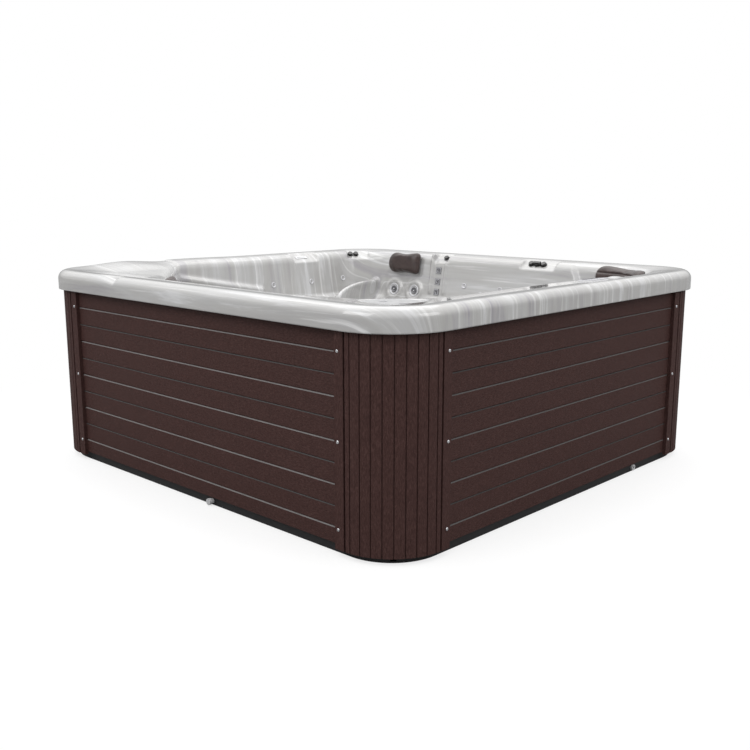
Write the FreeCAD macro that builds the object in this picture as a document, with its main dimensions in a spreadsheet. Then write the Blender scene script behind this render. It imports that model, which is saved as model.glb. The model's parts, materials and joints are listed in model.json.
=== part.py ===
import FreeCAD, Part
import math
import os
import re
import Sketcher

# Square hot tub: an acrylic shell with seats hangs in a slatted cabinet that stands on a black base tray.
# Frame: origin at the bottom centre of the base, +Z up, -Y is the front, +X is the right side.
# Millimetres. Every sub-part carries the name of its file as its Label.

doc = FreeCAD.newDocument("hot_tub")

SIZES = [
    ("rim_x", 2200, "rim, outer size along X"),
    ("rim_y", 2110, "rim, outer size along Y"),
    ("rim_top", 846, "height of the rim above the ground"),
    ("rim_face", 82, "height of the rim's outer face"),
    ("rim_round", 38, "round on the rim's outer top edge"),
    ("rim_radius", 245, "rim corner radius in plan"),
    ("deck_wall", 12, "thickness of the rim deck"),
    ("crest", 60, "width of the level crest along the rim's outer edge"),
    ("deck_fall", 10, "fall of the deck from the crest towards the well, per cent"),
    ("shell_wall", 10, "thickness of the shell walls, acrylic and backing"),
    ("cabinet_x", 2160, "cabinet over the corner strips, along X"),
    ("cabinet_y", 2070, "cabinet over the corner strips, along Y"),
    ("cabinet_top", 780, "top edge of the cabinet, inside the rim"),
    ("corner_bottom", 25, "lower edge of the corner panels"),
    ("corner_radius", 225, "outer radius of the slatted corners"),
    ("corner_wall", 15, "thickness of the corner panels"),
    ("strip_width", 45, "flat strip at each end of a corner panel"),
    ("slat_angle", 9.75, "width of a full slat, degrees of the corner arc"),
    ("end_slat_angle", 6, "width of the narrow slat at each end of the arc, degrees"),
    ("slat_groove", 4, "width and depth of the groove between slats"),
    ("deep_groove", 8, "width and depth of the groove where arc meets strip"),
    ("panel_bottom", 37, "lower edge of the flat panels"),
    ("panel_wall", 14, "thickness of the flat panels"),
    ("panel_lap", 35, "how far a flat panel runs behind the corner strip"),
    ("groove_first", 691.5, "height of the top plank groove"),
    ("groove_pitch", 74.5, "spacing of the plank grooves"),
    ("wide_groove", 6, "width of the odd plank grooves"),
    ("narrow_groove", 2.5, "width of the even plank grooves"),
    ("groove_depth", 4, "depth of the plank grooves"),
    ("screw_inset", 254, "screw distance from the virtual cabinet corner"),
    ("screw_top", 695, "height of the top screw"),
    ("screw_pitch", 300, "spacing of the screws"),
    ("screw_head", 6, "radius of a screw head"),
    ("screw_shank", 2.5, "radius of a screw shank"),
    ("screw_length", 50, "length of a screw shank"),
    ("tray_inset", 30, "base tray inside the strip faces"),
    ("tray_height", 30, "height of the base tray"),
    ("tray_floor", 6, "thickness of the tray floor"),
    ("tray_border", 50, "width of the tray's raised border"),
    ("timber", 45, "side of a frame timber"),
    ("bottom_rail", 50, "height of a bottom rail"),
    ("top_rail", 60, "height of a top rail"),
    ("rail_gap", 4, "gap between the top rails and the deck over them"),
    ("foam", 20, "thickness of the insulation sheets"),
    ("well_x", 1920, "bathing well at the rim, along X"),
    ("well_back", 905, "well wall at the rim, back side"),
    ("well_front", 880, "well wall at the rim, front side"),
    ("shelf_x", 830, "inner edge of the right side's headrest shelf, along X"),
    ("well_draft", 9.5, "lean of the well walls, degrees"),
    ("platform", 600, "height of the armrests between the seats"),
    ("seat_level", 400, "height of a seat"),
    ("step_level", 440, "height of the front cooling seat"),
    ("foot_level", 90, "height of the footwell floor"),
    ("foot_draft", 5, "lean of the footwell walls, degrees"),
    ("pod_tilt", 35, "lean of the control pockets in the rim, degrees"),
    ("pod_depth", 25, "pocket centre below the rim top"),
    ("pod_back", 24, "pocket centre outside the well edge"),
    ("pod_run", 76, "pocket size up the slope"),
    ("clearance", 0.05, "radial running clearance of a spindle in its bore"),
    ("spindle", 6, "radius of a valve spindle"),
    ("knob_radius", 13, "radius of a rim valve knob"),
    ("knob_height", 11, "height of a rim valve knob"),
    ("barrel", 11, "radius of a valve barrel under the rim"),
    ("plate", 3, "height of the plates under the valve knobs"),
    ("plate_radius", 17, "radius of those plates around a knob"),
    ("air_middle", -28, "middle of the air controls, along their pocket"),
    ("air_pitch", 32, "spacing of the two air controls"),
    ("diverter_middle", -17, "diverter handle, along its pocket"),
    ("diverter_pitch", 37, "spacing of the valves beside the diverter handle"),
    ("neck_at", 18, "neck-jet valve, along its pocket"),
    ("lounger_pillow_width", 210, "lounger's head pillow, along the wall"),
    ("lounger_pillow_height", 124, "lounger's head pillow, up the wall"),
    ("seat_pillow_width", 240, "back left seat's head pillow, along the wall"),
    ("seat_pillow_height", 130, "back left seat's head pillow, up the wall"),
    ("corner_pillow_low", 727, "lower edge of the back right corner's pillow"),
    ("corner_pillow_top", 852, "upper edge of the back right corner's pillow"),
    ("pillow_thick", 44, "thickness of a head pillow"),
    ("panel_x", 985, "middle of the topside panel, along X"),
    ("panel_y", 235, "middle of the topside panel, along Y"),
    ("button_x", 20, "length of a push button"),
    ("button_y", 12, "width of a push button"),
    ("button_pitch", 28, "spacing of the push buttons"),
    ("mouth_x", 690, "middle of the skimmer mouth on the rim outline, along X"),
    ("mouth_z", 730, "height of the skimmer mouth's middle"),
    ("mouth_width", 150, "width of the skimmer throat"),
    ("mouth_height", 90, "height of the skimmer throat"),
    ("flap_up", 34, "weir flap's pin below the middle of the throat"),
    ("flap_back", -9, "weir flap's pin behind the wall face"),
    ("jet_height", 637, "height of the rotary jets"),
    ("jet_radius", 34, "radius of a rotary jet's escutcheon ring"),
    ("jet_left", -674, "left rotary jet, along X"),
    ("jet_right", -524, "right rotary jet, along X"),
    ("nozzle_radius", 19, "radius of a rotary nozzle's face"),
    ("small_jet", 11, "radius of a small jet's barrel"),
    ("filter_at_x", 800, "filter axis, along X"),
    ("filter_at_y", -745, "filter axis, along Y"),
    ("filter_bore", 96, "inner radius of the skimmer housing"),
    ("filter_bottom", 300, "underside of the skimmer housing"),
    ("lid_radius", 118, "radius of the filter lid"),
    ("lid_seat", 812, "height of the filter lid's seat"),
    ("pump_x", 60, "middle of the pump motor, along X"),
    ("pump_y", -700, "pump axis, along Y"),
    ("pump_z", 150, "pump axis above the ground"),
    ("motor_radius", 75, "radius of the pump motor"),
    ("motor_length", 230, "length of the pump motor"),
    ("volute_radius", 92, "radius of the pump wet end"),
    ("volute_width", 84, "width of the pump wet end"),
    ("shaft_radius", 8, "radius of the pump shaft"),
    ("pipe_radius", 25, "outer radius of the water pipes"),
    ("hose_radius", 12, "outer radius of the jet hoses"),
    ("heater_radius", 32, "radius of the heater tube"),
    ("heater_z", 345, "heater axis above the ground"),
    ("heater_left", -20, "left end of the heater tube, along X"),
    ("heater_right", 320, "right end of the heater tube, along X"),
    ("manifold_x", 555, "jet manifold, along X"),
    ("valve_half", 28, "half length of a slice valve along its pipe"),
    ("drain_x", 96, "drain outlet, along X"),
    ("drain_z", 16, "height of the drain outlet"),
    ("gland_y", 519, "cable gland, along Y"),
]
ALIASES = {alias for alias, _, _ in SIZES}

sheet = doc.addObject("Spreadsheet::Sheet", "Sizes")
for row, (alias, value, note) in enumerate(SIZES, start=1):
    sheet.set(f"A{row}", note)
    sheet.set(f"B{row}", str(value))
    sheet.setAlias(f"B{row}", alias)
doc.recompute()

ALONG_X = FreeCAD.Vector(1, 0, 0)
ALONG_Y = FreeCAD.Vector(0, 1, 0)
UP = FreeCAD.Vector(0, 0, 1)
nodes = []


# ---------------------------------------------------------------- helpers

def size(alias):
    """A driving dimension as a number."""
    return float(sheet.get(alias))


def bound(text):
    """The expression with the sheet's name put before each size."""
    return re.sub(r"[a-z_]+", lambda word: prefixed(word.group()), text)


def prefixed(word):
    return f"Sizes.{word}" if word in ALIASES else word


def bind(item, **expressions):
    for name, text in expressions.items():
        item.setExpression(name, bound(text))


def move(item, x, y, z):
    """Places an object at a point given as sheet expressions."""
    for axis, text in zip("xyz", (x, y, z)):
        item.setExpression(f"Placement.Base.{axis}", bound(text))


def node(name, item):
    """Marks an object as the sub-part of that name."""
    item.Label = name
    nodes.append(item)
    return item


def box(name, length, width, height, x, y, z):
    item = doc.addObject("Part::Box", name)
    bind(item, Length=length, Width=width, Height=height)
    move(item, x, y, z)
    return item


def rod(name, radius, height, x, y, z, axis=UP):
    item = doc.addObject("Part::Cylinder", name)
    bind(item, Radius=radius, Height=height)
    item.Placement = FreeCAD.Placement(FreeCAD.Vector(), FreeCAD.Rotation(UP, axis))
    move(item, x, y, z)
    return item


def group(name, items):
    item = doc.addObject("Part::Compound", name)
    item.Links = items
    return item


def joined(name, items):
    item = doc.addObject("Part::MultiFuse", name)
    item.Shapes = items
    return item


def cut(name, base, tool):
    item = doc.addObject("Part::Cut", name)
    item.Base = base
    item.Tool = tool
    return item


def new_body(name):
    return node(name, doc.addObject("PartDesign::Body", name))


def new_sketch(body, name, plane="XY_Plane"):
    item = body.newObject("Sketcher::SketchObject", name)
    origin = next(part for part in body.Origin.OriginFeatures if part.Role == plane)
    item.AttachmentSupport = [(origin, "")]
    item.MapMode = "FlatFace"
    return item


def polygon(sketch, corners):
    """A closed outline whose corners are bound to sheet expressions."""
    count = len(corners)
    starts = []
    for index in range(count):
        angle = 2 * math.pi * index / count
        starts.append(FreeCAD.Vector(math.cos(angle), math.sin(angle), 0))
    for index in range(count):
        sketch.addGeometry(Part.LineSegment(starts[index], starts[(index + 1) % count]))
    for index in range(count):
        sketch.addConstraint(Sketcher.Constraint("Coincident", index, 2, (index + 1) % count, 1))
    for index, texts in enumerate(corners):
        for kind, text, value in zip(("DistanceX", "DistanceY"), texts, starts[index]):
            number = sketch.addConstraint(Sketcher.Constraint(kind, -1, 1, index, 1, value))
            sketch.setExpression(f"Constraints[{number}]", bound(text))


def rectangle(sketch, left, right, low, high):
    polygon(sketch, [(left, low), (right, low), (right, high), (left, high)])


def circle(sketch, radius, x="0", y="0"):
    number = sketch.addGeometry(Part.Circle(FreeCAD.Vector(1, 1, 0), UP, 1))
    for kind, text in (("DistanceX", x), ("DistanceY", y)):
        place = sketch.addConstraint(Sketcher.Constraint(kind, -1, 1, number, 3, 1))
        sketch.setExpression(f"Constraints[{place}]", bound(text))
    span = sketch.addConstraint(Sketcher.Constraint("Radius", number, 1))
    sketch.setExpression(f"Constraints[{span}]", bound(radius))


def pad(body, sketch, length):
    item = body.newObject("PartDesign::Pad", f"{sketch.Name}_pad")
    item.Profile = sketch
    bind(item, Length=length)
    return item


def pocket(body, sketch, length, reverse=False):
    item = body.newObject("PartDesign::Pocket", f"{sketch.Name}_pocket")
    item.Profile = sketch
    item.Reversed = reverse
    bind(item, Length=length)
    return item


def turned(name, profile):
    """A body of revolution about its own Z from a profile of radius and height."""
    body = new_body(name)
    sketch = new_sketch(body, f"{name}_profile", "XZ_Plane")
    polygon(sketch, profile)
    item = body.newObject("PartDesign::Revolution", f"{name}_turn")
    item.Profile = sketch
    item.ReferenceAxis = (sketch, ["V_Axis"])
    item.Angle = 360
    return body


def upright_edges(shape, low, high):
    """Names of the straight upright edges between two heights."""
    names = []
    for number, edge in enumerate(shape.Edges, start=1):
        ends = [vertex.Point for vertex in edge.Vertexes]
        if len(ends) == 2 and math.hypot(ends[0].x - ends[1].x, ends[0].y - ends[1].y) < 1e-6:
            heights = sorted(point.z for point in ends)
            if abs(heights[0] - low) < 0.01 and abs(heights[1] - high) < 0.01:
                names.append(f"Edge{number}")
    return names


def rounded(body, base, edges, radius):
    item = body.newObject("PartDesign::Fillet", f"{base.Name}_round")
    item.Base = (base, edges)
    bind(item, Radius=radius)
    return item


# ---------------------------------------------------------------- plan outlines of the shell

def offset_corners(corners, inward):
    """Moves every side of a counter-clockwise outline inwards."""
    moved = []
    count = len(corners)
    for index in range(count):
        before, here, after = corners[index - 1], corners[index], corners[(index + 1) % count]
        first = math.atan2(here[1] - before[1], here[0] - before[0])
        second = math.atan2(after[1] - here[1], after[0] - here[0])
        half = (second - first) / 2
        middle = first + half + math.pi / 2
        reach = inward / math.cos(half)
        moved.append((here[0] + reach * math.cos(middle), here[1] + reach * math.sin(middle)))
    return moved


def turn_at(corners, index):
    """Signed turn of the outline at a corner, positive where it bulges outwards."""
    before, here, after = corners[index - 1], corners[index], corners[(index + 1) % len(corners)]
    first = math.atan2(here[1] - before[1], here[0] - before[0])
    second = math.atan2(after[1] - here[1], after[0] - here[0])
    return (second - first + math.pi) % (2 * math.pi) - math.pi


def rounded_wire(corners, radii, height):
    """A closed outline of straight sides joined by tangent arcs."""
    stretches = []
    count = len(corners)
    for index in range(count):
        before, here, after = corners[index - 1], corners[index], corners[(index + 1) % count]
        turn = turn_at(corners, index)
        reach = radii[index] * math.tan(abs(turn) / 2)
        to_before = unit(before, here)
        to_after = unit(after, here)
        start = FreeCAD.Vector(here[0] + reach * to_before[0], here[1] + reach * to_before[1], height)
        end = FreeCAD.Vector(here[0] + reach * to_after[0], here[1] + reach * to_after[1], height)
        inner = unit((to_before[0] + to_after[0], to_before[1] + to_after[1]), (0, 0))
        gap = radii[index] * (1 / math.cos(turn / 2) - 1)
        middle = FreeCAD.Vector(here[0] + gap * inner[0], here[1] + gap * inner[1], height)
        stretches.append((start, middle, end))
    edges = []
    for index, (start, middle, end) in enumerate(stretches):
        edges.append(Part.Arc(start, middle, end).toShape())
        edges.append(Part.makeLine(end, stretches[(index + 1) % count][0]))
    return Part.Wire(edges)


def unit(point, origin):
    across, along = point[0] - origin[0], point[1] - origin[1]
    length = math.hypot(across, along)
    return across / length, along / length


def drafted(corners, radii, low, top, draft, grow=0.0):
    """A hollow with leaning walls, its outline given at the top, grown all round by a wall."""
    lean = math.tan(math.radians(draft))
    wide = offset_corners(corners, -grow)
    bulge = [1 if turn_at(corners, index) > 0 else -1 for index in range(len(corners))]
    wide_radii = [radius + side * grow for radius, side in zip(radii, bulge)]
    inset = (top - low + grow) * lean
    narrow = offset_corners(wide, inset)
    narrow_radii = [radius - side * inset for radius, side in zip(wide_radii, bulge)]
    low_wire = rounded_wire(narrow, narrow_radii, low - grow)
    top_wire = rounded_wire(wide, wide_radii, top)
    return Part.makeLoft([low_wire, top_wire], True, True)


def block(left, right, front, back, low, top):
    corner = FreeCAD.Vector(left, front, low)
    return Part.makeBox(right - left, back - front, top - low, corner)


WELL_RADII = [90, 90, 90, 60, 60, 275, 230, 90]
WELL_OVER = 4


def well_corners():
    """The well at the rim, from the front left corner round the shelf on the right side."""
    half, front, back = size("well_x") / 2, size("well_front"), size("well_back")
    shelf = size("shelf_x")
    return [(-440, -front), (420, -front), (shelf, -531), (shelf, 240), (half, 352), (half, back),
            (-half, back), (-half, -402)]


def seat_hollows(grow):
    """The seats and the footwell below the platform, as separate hollows."""
    merge = size("platform") + 10
    draft = size("well_draft")
    seat = size("seat_level")
    side = size("well_x") / 2 - 45
    back = size("well_back") - 45
    front = 50 - size("well_front")
    shelf = size("shelf_x") - 45
    back_left = [(-735, 290), (-400, 290), (-400, back), (-800, back), (-735, 560)]
    back_middle = [(-310, 290), (250, 290), (250, back), (-310, back)]
    back_right = [(340, 250), (430, 170), (shelf - 20, 260), (side, 390), (side, back), (340, back)]
    right = [(470, -370), (shelf, -370), (shelf, 60), (470, 60)]
    cooling = [(-330, front), (330, front), (330, -370), (-330, -370)]
    foot = [(-440, -420), (520, -420), (520, 440), (-580, 440), (-580, 260), (-440, 130)]
    hollows = [
        drafted(back_left, [60, 60, 90, 90, 200], seat, merge, draft, grow),
        drafted(back_middle, [60, 60, 90, 90], seat, merge, draft, grow),
        drafted(back_right, [50, 50, 50, 50, 240, 90], seat, merge, draft, grow),
        drafted(right, [60, 80, 80, 60], seat, merge, draft, grow),
        drafted(cooling, [80, 80, 60, 60], size("step_level"), merge, draft, grow),
        lounger(merge, grow),
        drafted(foot, [110, 110, 110, 90, 60, 60], size("foot_level"), merge, size("foot_draft"), grow),
    ]
    return hollows


def lounger(merge, grow):
    """The lounger's hollow: back slope, seat, raised knees and lower feet, read from head to foot."""
    seat = size("seat_level") + 20
    plan = [(-480, -770), (-480, 230), (-915, 230), (-915, -370)]
    hollow = drafted(plan, [60, 70, 70, 60], seat - 20, merge, size("well_draft"), grow)
    side = [(-880, merge), (-700, merge - 60), (-330, seat), (-150, seat), (60, seat + 70),
            (260, seat - 10)]
    corners = [FreeCAD.Vector(-1200, along, height - grow) for along, height in side]
    corners.append(FreeCAD.Vector(-1200, 300, merge + 1))
    corners.append(FreeCAD.Vector(-1200, -1000, merge + 1))
    corners.append(corners[0])
    prism = Part.Face(Part.makePolygon(corners)).extrude(FreeCAD.Vector(900, 0, 0))
    return hollow.common(prism)


def pod_frame(x, y, inward):
    """Place of a control pocket: its own Z leans into the well, its own X runs along the rim."""
    tilt = FreeCAD.Rotation(ALONG_X, size("pod_tilt"))
    heading = FreeCAD.Rotation(UP, inward + 90)
    centre = FreeCAD.Vector(x, y, size("rim_top") - size("pod_depth"))
    return FreeCAD.Placement(centre, heading.multiply(tilt))


POD_EDGE_BACK = size("well_back") + size("pod_back")
POD_EDGE_LEFT = -size("well_x") / 2 - size("pod_back")
ARC_AT = (-size("well_x") / 2 + WELL_RADII[6], size("well_back") - WELL_RADII[6])
ARC_OUT = WELL_RADII[6] + size("pod_back")
AIR_ANGLE = 142
PODS = {
    "air": (pod_frame(ARC_AT[0] + ARC_OUT * math.cos(math.radians(AIR_ANGLE)),
                      ARC_AT[1] + ARC_OUT * math.sin(math.radians(AIR_ANGLE)), AIR_ANGLE - 180), 124),
    "waterfall": (pod_frame(POD_EDGE_LEFT, 452, 0), 176),
    "neck": (pod_frame(-354, POD_EDGE_BACK, -90), 92),
    "diverter": (pod_frame(272, POD_EDGE_BACK, -90), 198),
}


def pod_hollow(name, grow):
    """The pocket over a control's slope, or the slope's own thickness when grown."""
    frame, width = PODS[name]
    run = size("pod_run")
    half = width / 2 + grow
    hollow = block(-half, half, -run / 2 - 2 * grow, run / 2 + grow, -grow, 60)
    hollow.Placement = frame
    return hollow


def placed(shape, frame):
    shape.Placement = frame.multiply(shape.Placement)
    return shape


def shifted(frame, x=0.0, y=0.0, z=0.0):
    """The frame moved along its own axes."""
    return frame.multiply(FreeCAD.Placement(FreeCAD.Vector(x, y, z), FreeCAD.Rotation()))


def wall_frame(x, y, z, inward, lean):
    """Place on a leaning wall: own Z points out of the wall into the water."""
    heading = FreeCAD.Rotation(UP, inward)
    tilt = FreeCAD.Rotation(ALONG_Y, 90 - lean)
    return FreeCAD.Placement(FreeCAD.Vector(x, y, z), heading.multiply(tilt))


def on_well(x, y, z, inward):
    """A place on the well wall below the rim point x, y; inward is the wall's heading in degrees."""
    inset = (size("rim_top") + WELL_OVER - z) * math.tan(math.radians(size("well_draft")))
    heading = math.radians(inward)
    return wall_frame(x + inset * math.cos(heading), y + inset * math.sin(heading), z, inward,
                      size("well_draft"))


def back_wall(x, z):
    return on_well(x, size("well_back"), z, -90)


def left_wall(y, z):
    return on_well(-size("well_x") / 2, y, z, 0)


def right_wall(y, z):
    return on_well(size("well_x") / 2, y, z, 180)


def shelf_wall(y, z):
    return on_well(size("shelf_x"), y, z, 180)


def front_wall(x, z):
    return on_well(x, -size("well_front"), z, 90)


def back_arc(side, angle, z):
    """A place on the rounded wall of a back corner, right (1) or left (-1)."""
    radius = WELL_RADII[5 if side > 0 else 6]
    turn = math.radians(angle)
    x = side * (size("well_x") / 2 - radius) + radius * math.cos(turn)
    y = size("well_back") - radius + radius * math.sin(turn)
    return shifted(on_well(x, y, z, angle + 180), z=0.5)


def slanting_wall(run, z):
    """A place on the slanting wall before the front left corner, run millimetres from its front end."""
    first, last = well_corners()[0], well_corners()[-1]
    along = unit(last, first)
    inward = math.degrees(math.atan2(-along[0], along[1]))
    return on_well(first[0] + run * along[0], first[1] + run * along[1], z, inward)


def foot_wall(x, z, side):
    """A place on the footwell wall, at the back (1) or at the front (-1)."""
    top = size("platform") + 10
    y = (440 if side > 0 else -420) - side * (top - z) * math.tan(math.radians(size("foot_draft")))
    return wall_frame(x, y, z, -90 * side, size("foot_draft"))


SMALL_JETS = [left_wall(191, 690), left_wall(467, 690), back_arc(-1, 170, 693), back_wall(-175, 688),
              back_wall(60, 683), back_wall(-60, 650), back_arc(1, 72, 650), back_arc(1, 48, 650),
              right_wall(440, 650), shelf_wall(-220, 683), shelf_wall(-90, 683), front_wall(-80, 683),
              front_wall(80, 683)]
NECK_JETS = [back_wall(-361, height) for height in (758, 697, 642)]
ROTARY = {"left": back_wall(size("jet_left"), size("jet_height")),
          "right": back_wall(size("jet_right"), size("jet_height"))}
SUCTIONS = [foot_wall(-240, size("pump_z"), -1), foot_wall(160, size("pump_z"), -1)]
LIGHT = foot_wall(0, 250, 1)


def bored(frame, radius, reach=30):
    """A round tool along a wall frame's own Z, through the wall."""
    tool = Part.makeCylinder(radius, 2 * reach, FreeCAD.Vector(0, 0, -reach))
    tool.Placement = frame.multiply(tool.Placement)
    return tool


def panel_frame():
    """Place of the topside panel on the right side's sloping deck: own Y points to the water."""
    x, fall = size("panel_x"), size("deck_fall") / 100
    height = size("rim_top") - (size("rim_x") / 2 - x - size("crest")) * fall
    tilt = FreeCAD.Rotation(ALONG_X, -math.degrees(math.atan(fall)))
    heading = FreeCAD.Rotation(UP, 90)
    return FreeCAD.Placement(FreeCAD.Vector(x, size("panel_y"), height), heading.multiply(tilt))


def mouth_frame():
    """Place of the skimmer mouth on the slanting wall before the filter corner."""
    first, second = well_corners()[1], well_corners()[2]
    along = unit(second, first)
    x = size("mouth_x")
    y = first[1] + (x - first[0]) * along[1] / along[0]
    return on_well(x, y, size("mouth_z"), math.degrees(math.atan2(along[0], -along[1])))


def mouth_box(grow, depth, out):
    """The skimmer mouth's throat, running back from the wall."""
    half = size("mouth_width") / 2 + grow
    rise = size("mouth_height") / 2 + grow
    tool = block(-rise, rise, -half, half, -depth, out)
    tool.Placement = mouth_frame()
    return tool


# ---------------------------------------------------------------- acrylic shell

def make_shell():
    """One formed sheet: rim with a turned-down edge, well, seats, footwell and control pockets."""
    half_x, half_y = size("rim_x") / 2, size("rim_y") / 2
    top, wall = size("rim_top"), size("shell_wall")
    low = top - size("rim_face")
    outline = [(-half_x, -half_y), (half_x, -half_y), (half_x, half_y), (-half_x, half_y)]
    inner = offset_corners(outline, wall)
    radius = size("rim_radius")
    slab = Part.Face(rounded_wire(outline, [radius] * 4, low)).extrude(UP * size("rim_face"))
    top_edges = [edge for edge in slab.Edges if edge.BoundBox.ZMin > top - 0.1]
    dish = over_deck(outline, 0)
    slab = slab.makeFillet(size("rim_round"), top_edges).cut(dish)
    under = Part.Face(rounded_wire(inner, [radius - wall] * 4, low - 1))
    under = under.extrude(UP * (size("rim_face") + 1 - size("deck_wall")))
    under_edges = [edge for edge in under.Edges if edge.BoundBox.ZMin > top - size("deck_wall") - 0.1]
    under = under.makeFillet(size("rim_round") - wall, under_edges).cut(over_deck(outline, size("deck_wall")))
    rim = slab.cut(under)
    well = [well_corners(), WELL_RADII, size("platform"), top + WELL_OVER, size("well_draft")]
    outer = [drafted(*well, wall)] + seat_hollows(wall) + [pod_hollow(name, wall) for name in PODS]
    ceiling = block(-half_x, half_x, -half_y, half_y, 0, top - size("rim_round") / 3).cut(dish)
    outer = [solid.common(ceiling) for solid in outer]
    hollows = [drafted(*well)] + seat_hollows(0) + [pod_hollow(name, 0) for name in PODS]
    body = rim.fuse(outer + lid_collar(dish))
    body = body.cut(hollows + shell_openings())
    return body.removeSplitter()


def over_deck(outline, drop):
    """The space over the deck: it falls from the level crest towards the well. Lowered by drop."""
    fall, over, reach, inner_radius = size("deck_fall") / 100, 1, 400, 20
    edge = size("crest") - over / fall
    wide = offset_corners(outline, edge)
    narrow = offset_corners(outline, size("crest") + reach)
    top = size("rim_top") - drop
    low_wire = rounded_wire(narrow, [inner_radius] * 4, top - reach * fall)
    top_wire = rounded_wire(wide, [size("rim_radius") - edge] * 4, top + over)
    return Part.makeLoft([low_wire, top_wire], True, True)


def lid_collar(dish):
    """Ring that carries the filter lid's seat: up to the deck where it is high, raised where it is low."""
    at = FreeCAD.Vector(size("filter_at_x"), size("filter_at_y"), size("lid_seat") - 10)
    radius = size("lid_radius") + 11
    return [Part.makeCylinder(radius, 34, at).cut(dish), Part.makeCylinder(radius, 18, at)]


def shell_openings():
    """Holes for jets, suctions, lamp, drain, filter, valve barrels and control panel."""
    tools = [bored(frame, size("small_jet") + 0.2) for frame in SMALL_JETS + NECK_JETS]
    tools += [bored(frame, 30.2) for frame in ROTARY.values()]
    tools += [bored(frame, 38.2) for frame in SUCTIONS + [LIGHT]]
    tools.append(Part.makeCylinder(22.2, 60, FreeCAD.Vector(0, 0, size("foot_level") - 40)))
    filter_at = FreeCAD.Vector(size("filter_at_x"), size("filter_at_y"), 700)
    tools.append(Part.makeCylinder(size("filter_bore") + 8, 200, filter_at))
    lid_seat = filter_at + UP * (size("lid_seat") - 700)
    tools.append(Part.makeCylinder(size("lid_radius") + 1, 60, lid_seat))
    tools.append(mouth_box(4, 40, 20))
    tools.append(slot_hole())
    tools.append(valve_holes())
    tools.append(placed(block(-65, 65, -26, 26, -40, 60), panel_frame()))
    tools.append(grip_scoop())
    return tools


def slot_hole():
    tool = block(-36, 36, -6, 6, -30, 30)
    tool.Placement = shifted(PODS["waterfall"][0], x=-16)
    return tool


def valve_holes():
    """Clearance holes under the rim valves."""
    tools = []
    for pod, places in VALVES.items():
        tools += [bored(valve_frame(pod, across), size("barrel") + 0.2) for across in places]
    return tools[0].fuse(tools[1:])


def valve_frame(pod, across):
    return shifted(PODS[pod][0], x=across)


AIR_VALVES = [size("air_middle") + side * size("air_pitch") / 2 for side in (-1, 1)]
DIVERTER_VALVES = [size("diverter_middle") + side * size("diverter_pitch") for side in (-1, 0, 1)]
NECK_VALVES = [size("neck_at")]
VALVES = {"air": AIR_VALVES, "diverter": DIVERTER_VALVES, "neck": NECK_VALVES}


def grip_scoop():
    """A hand scoop in the rim's outer top edge near the front left corner, deepest at its right end."""
    length, depth = 144, 24
    slope = math.degrees(math.atan2(depth, length))
    tool = block(-40, length, -60, 46, 0, 60)
    start = FreeCAD.Vector(-607, -size("rim_y") / 2, size("rim_top"))
    tool.Placement = FreeCAD.Placement(start, FreeCAD.Rotation(ALONG_Y, slope))
    return tool


shell = node("acrylic_shell", doc.addObject("Part::Feature", "acrylic_shell"))
shell.Shape = make_shell()


# ---------------------------------------------------------------- base, frame and cabinet

def make_tray():
    """Shallow base pan with a raised border, drilled for the drain outlet and the cable gland."""
    body = new_body("base_tray")
    plan = new_sketch(body, "tray_plan")
    half_x, half_y = "(cabinet_x/2 - tray_inset)", "(cabinet_y/2 - tray_inset)"
    rectangle(plan, f"-{half_x}", half_x, f"-{half_y}", half_y)
    slab = pad(body, plan, "tray_height")
    doc.recompute()
    rounded(body, slab, upright_edges(slab.Shape, 0, size("tray_height")), "corner_radius - tray_inset")
    pan = new_sketch(body, "tray_pan")
    rectangle(pan, f"-{half_x} + tray_border", f"{half_x} - tray_border",
              f"-{half_y} + tray_border", f"{half_y} - tray_border")
    pan.AttachmentOffset = FreeCAD.Placement(UP * size("tray_height"), FreeCAD.Rotation())
    pan.setExpression("AttachmentOffset.Base.z", bound("tray_height"))
    pocket(body, pan, "tray_height - tray_floor")
    drain = new_sketch(body, "tray_drain", "XZ_Plane")
    circle(drain, "10.2", "drain_x", "drain_z")
    drain.setExpression("AttachmentOffset.Base.z", bound(half_y))
    pocket(body, drain, "tray_border + 5")
    gland = new_sketch(body, "tray_gland", "YZ_Plane")
    circle(gland, "9.2", "gland_y", "drain_z")
    gland.setExpression("AttachmentOffset.Base.z", bound(half_x))
    pocket(body, gland, "tray_border + 5")
    return body


FRONT_FACE = "cabinet_y/2 - corner_wall - panel_wall - 0.5"
SIDE_FACE = "cabinet_x/2 - corner_wall - panel_wall - 0.5"
POST_LOW = "tray_height + bottom_rail + 0.4"
RAIL_TOP = "rim_top - deck_wall - top_rail - rail_gap"
TOP_RAIL_WIDTH = {"front": "timber - 5", "back": "timber - 5", "left": "timber - 16", "right": "timber - 16"}


def frame_rail(name, side, low, height, width):
    """One horizontal timber along a side of the frame; side is front, back, left or right."""
    if side in ("front", "back"):
        length = "cabinet_x - 360"
        y = f"-({FRONT_FACE})" if side == "front" else f"{FRONT_FACE} - ({width})"
        return box(name, length, width, height, "180 - cabinet_x/2", y, low)
    length = "cabinet_y - 360"
    x = f"-({SIDE_FACE})" if side == "left" else f"{SIDE_FACE} - ({width})"
    return box(name, width, length, height, x, "180 - cabinet_y/2", low)


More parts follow.
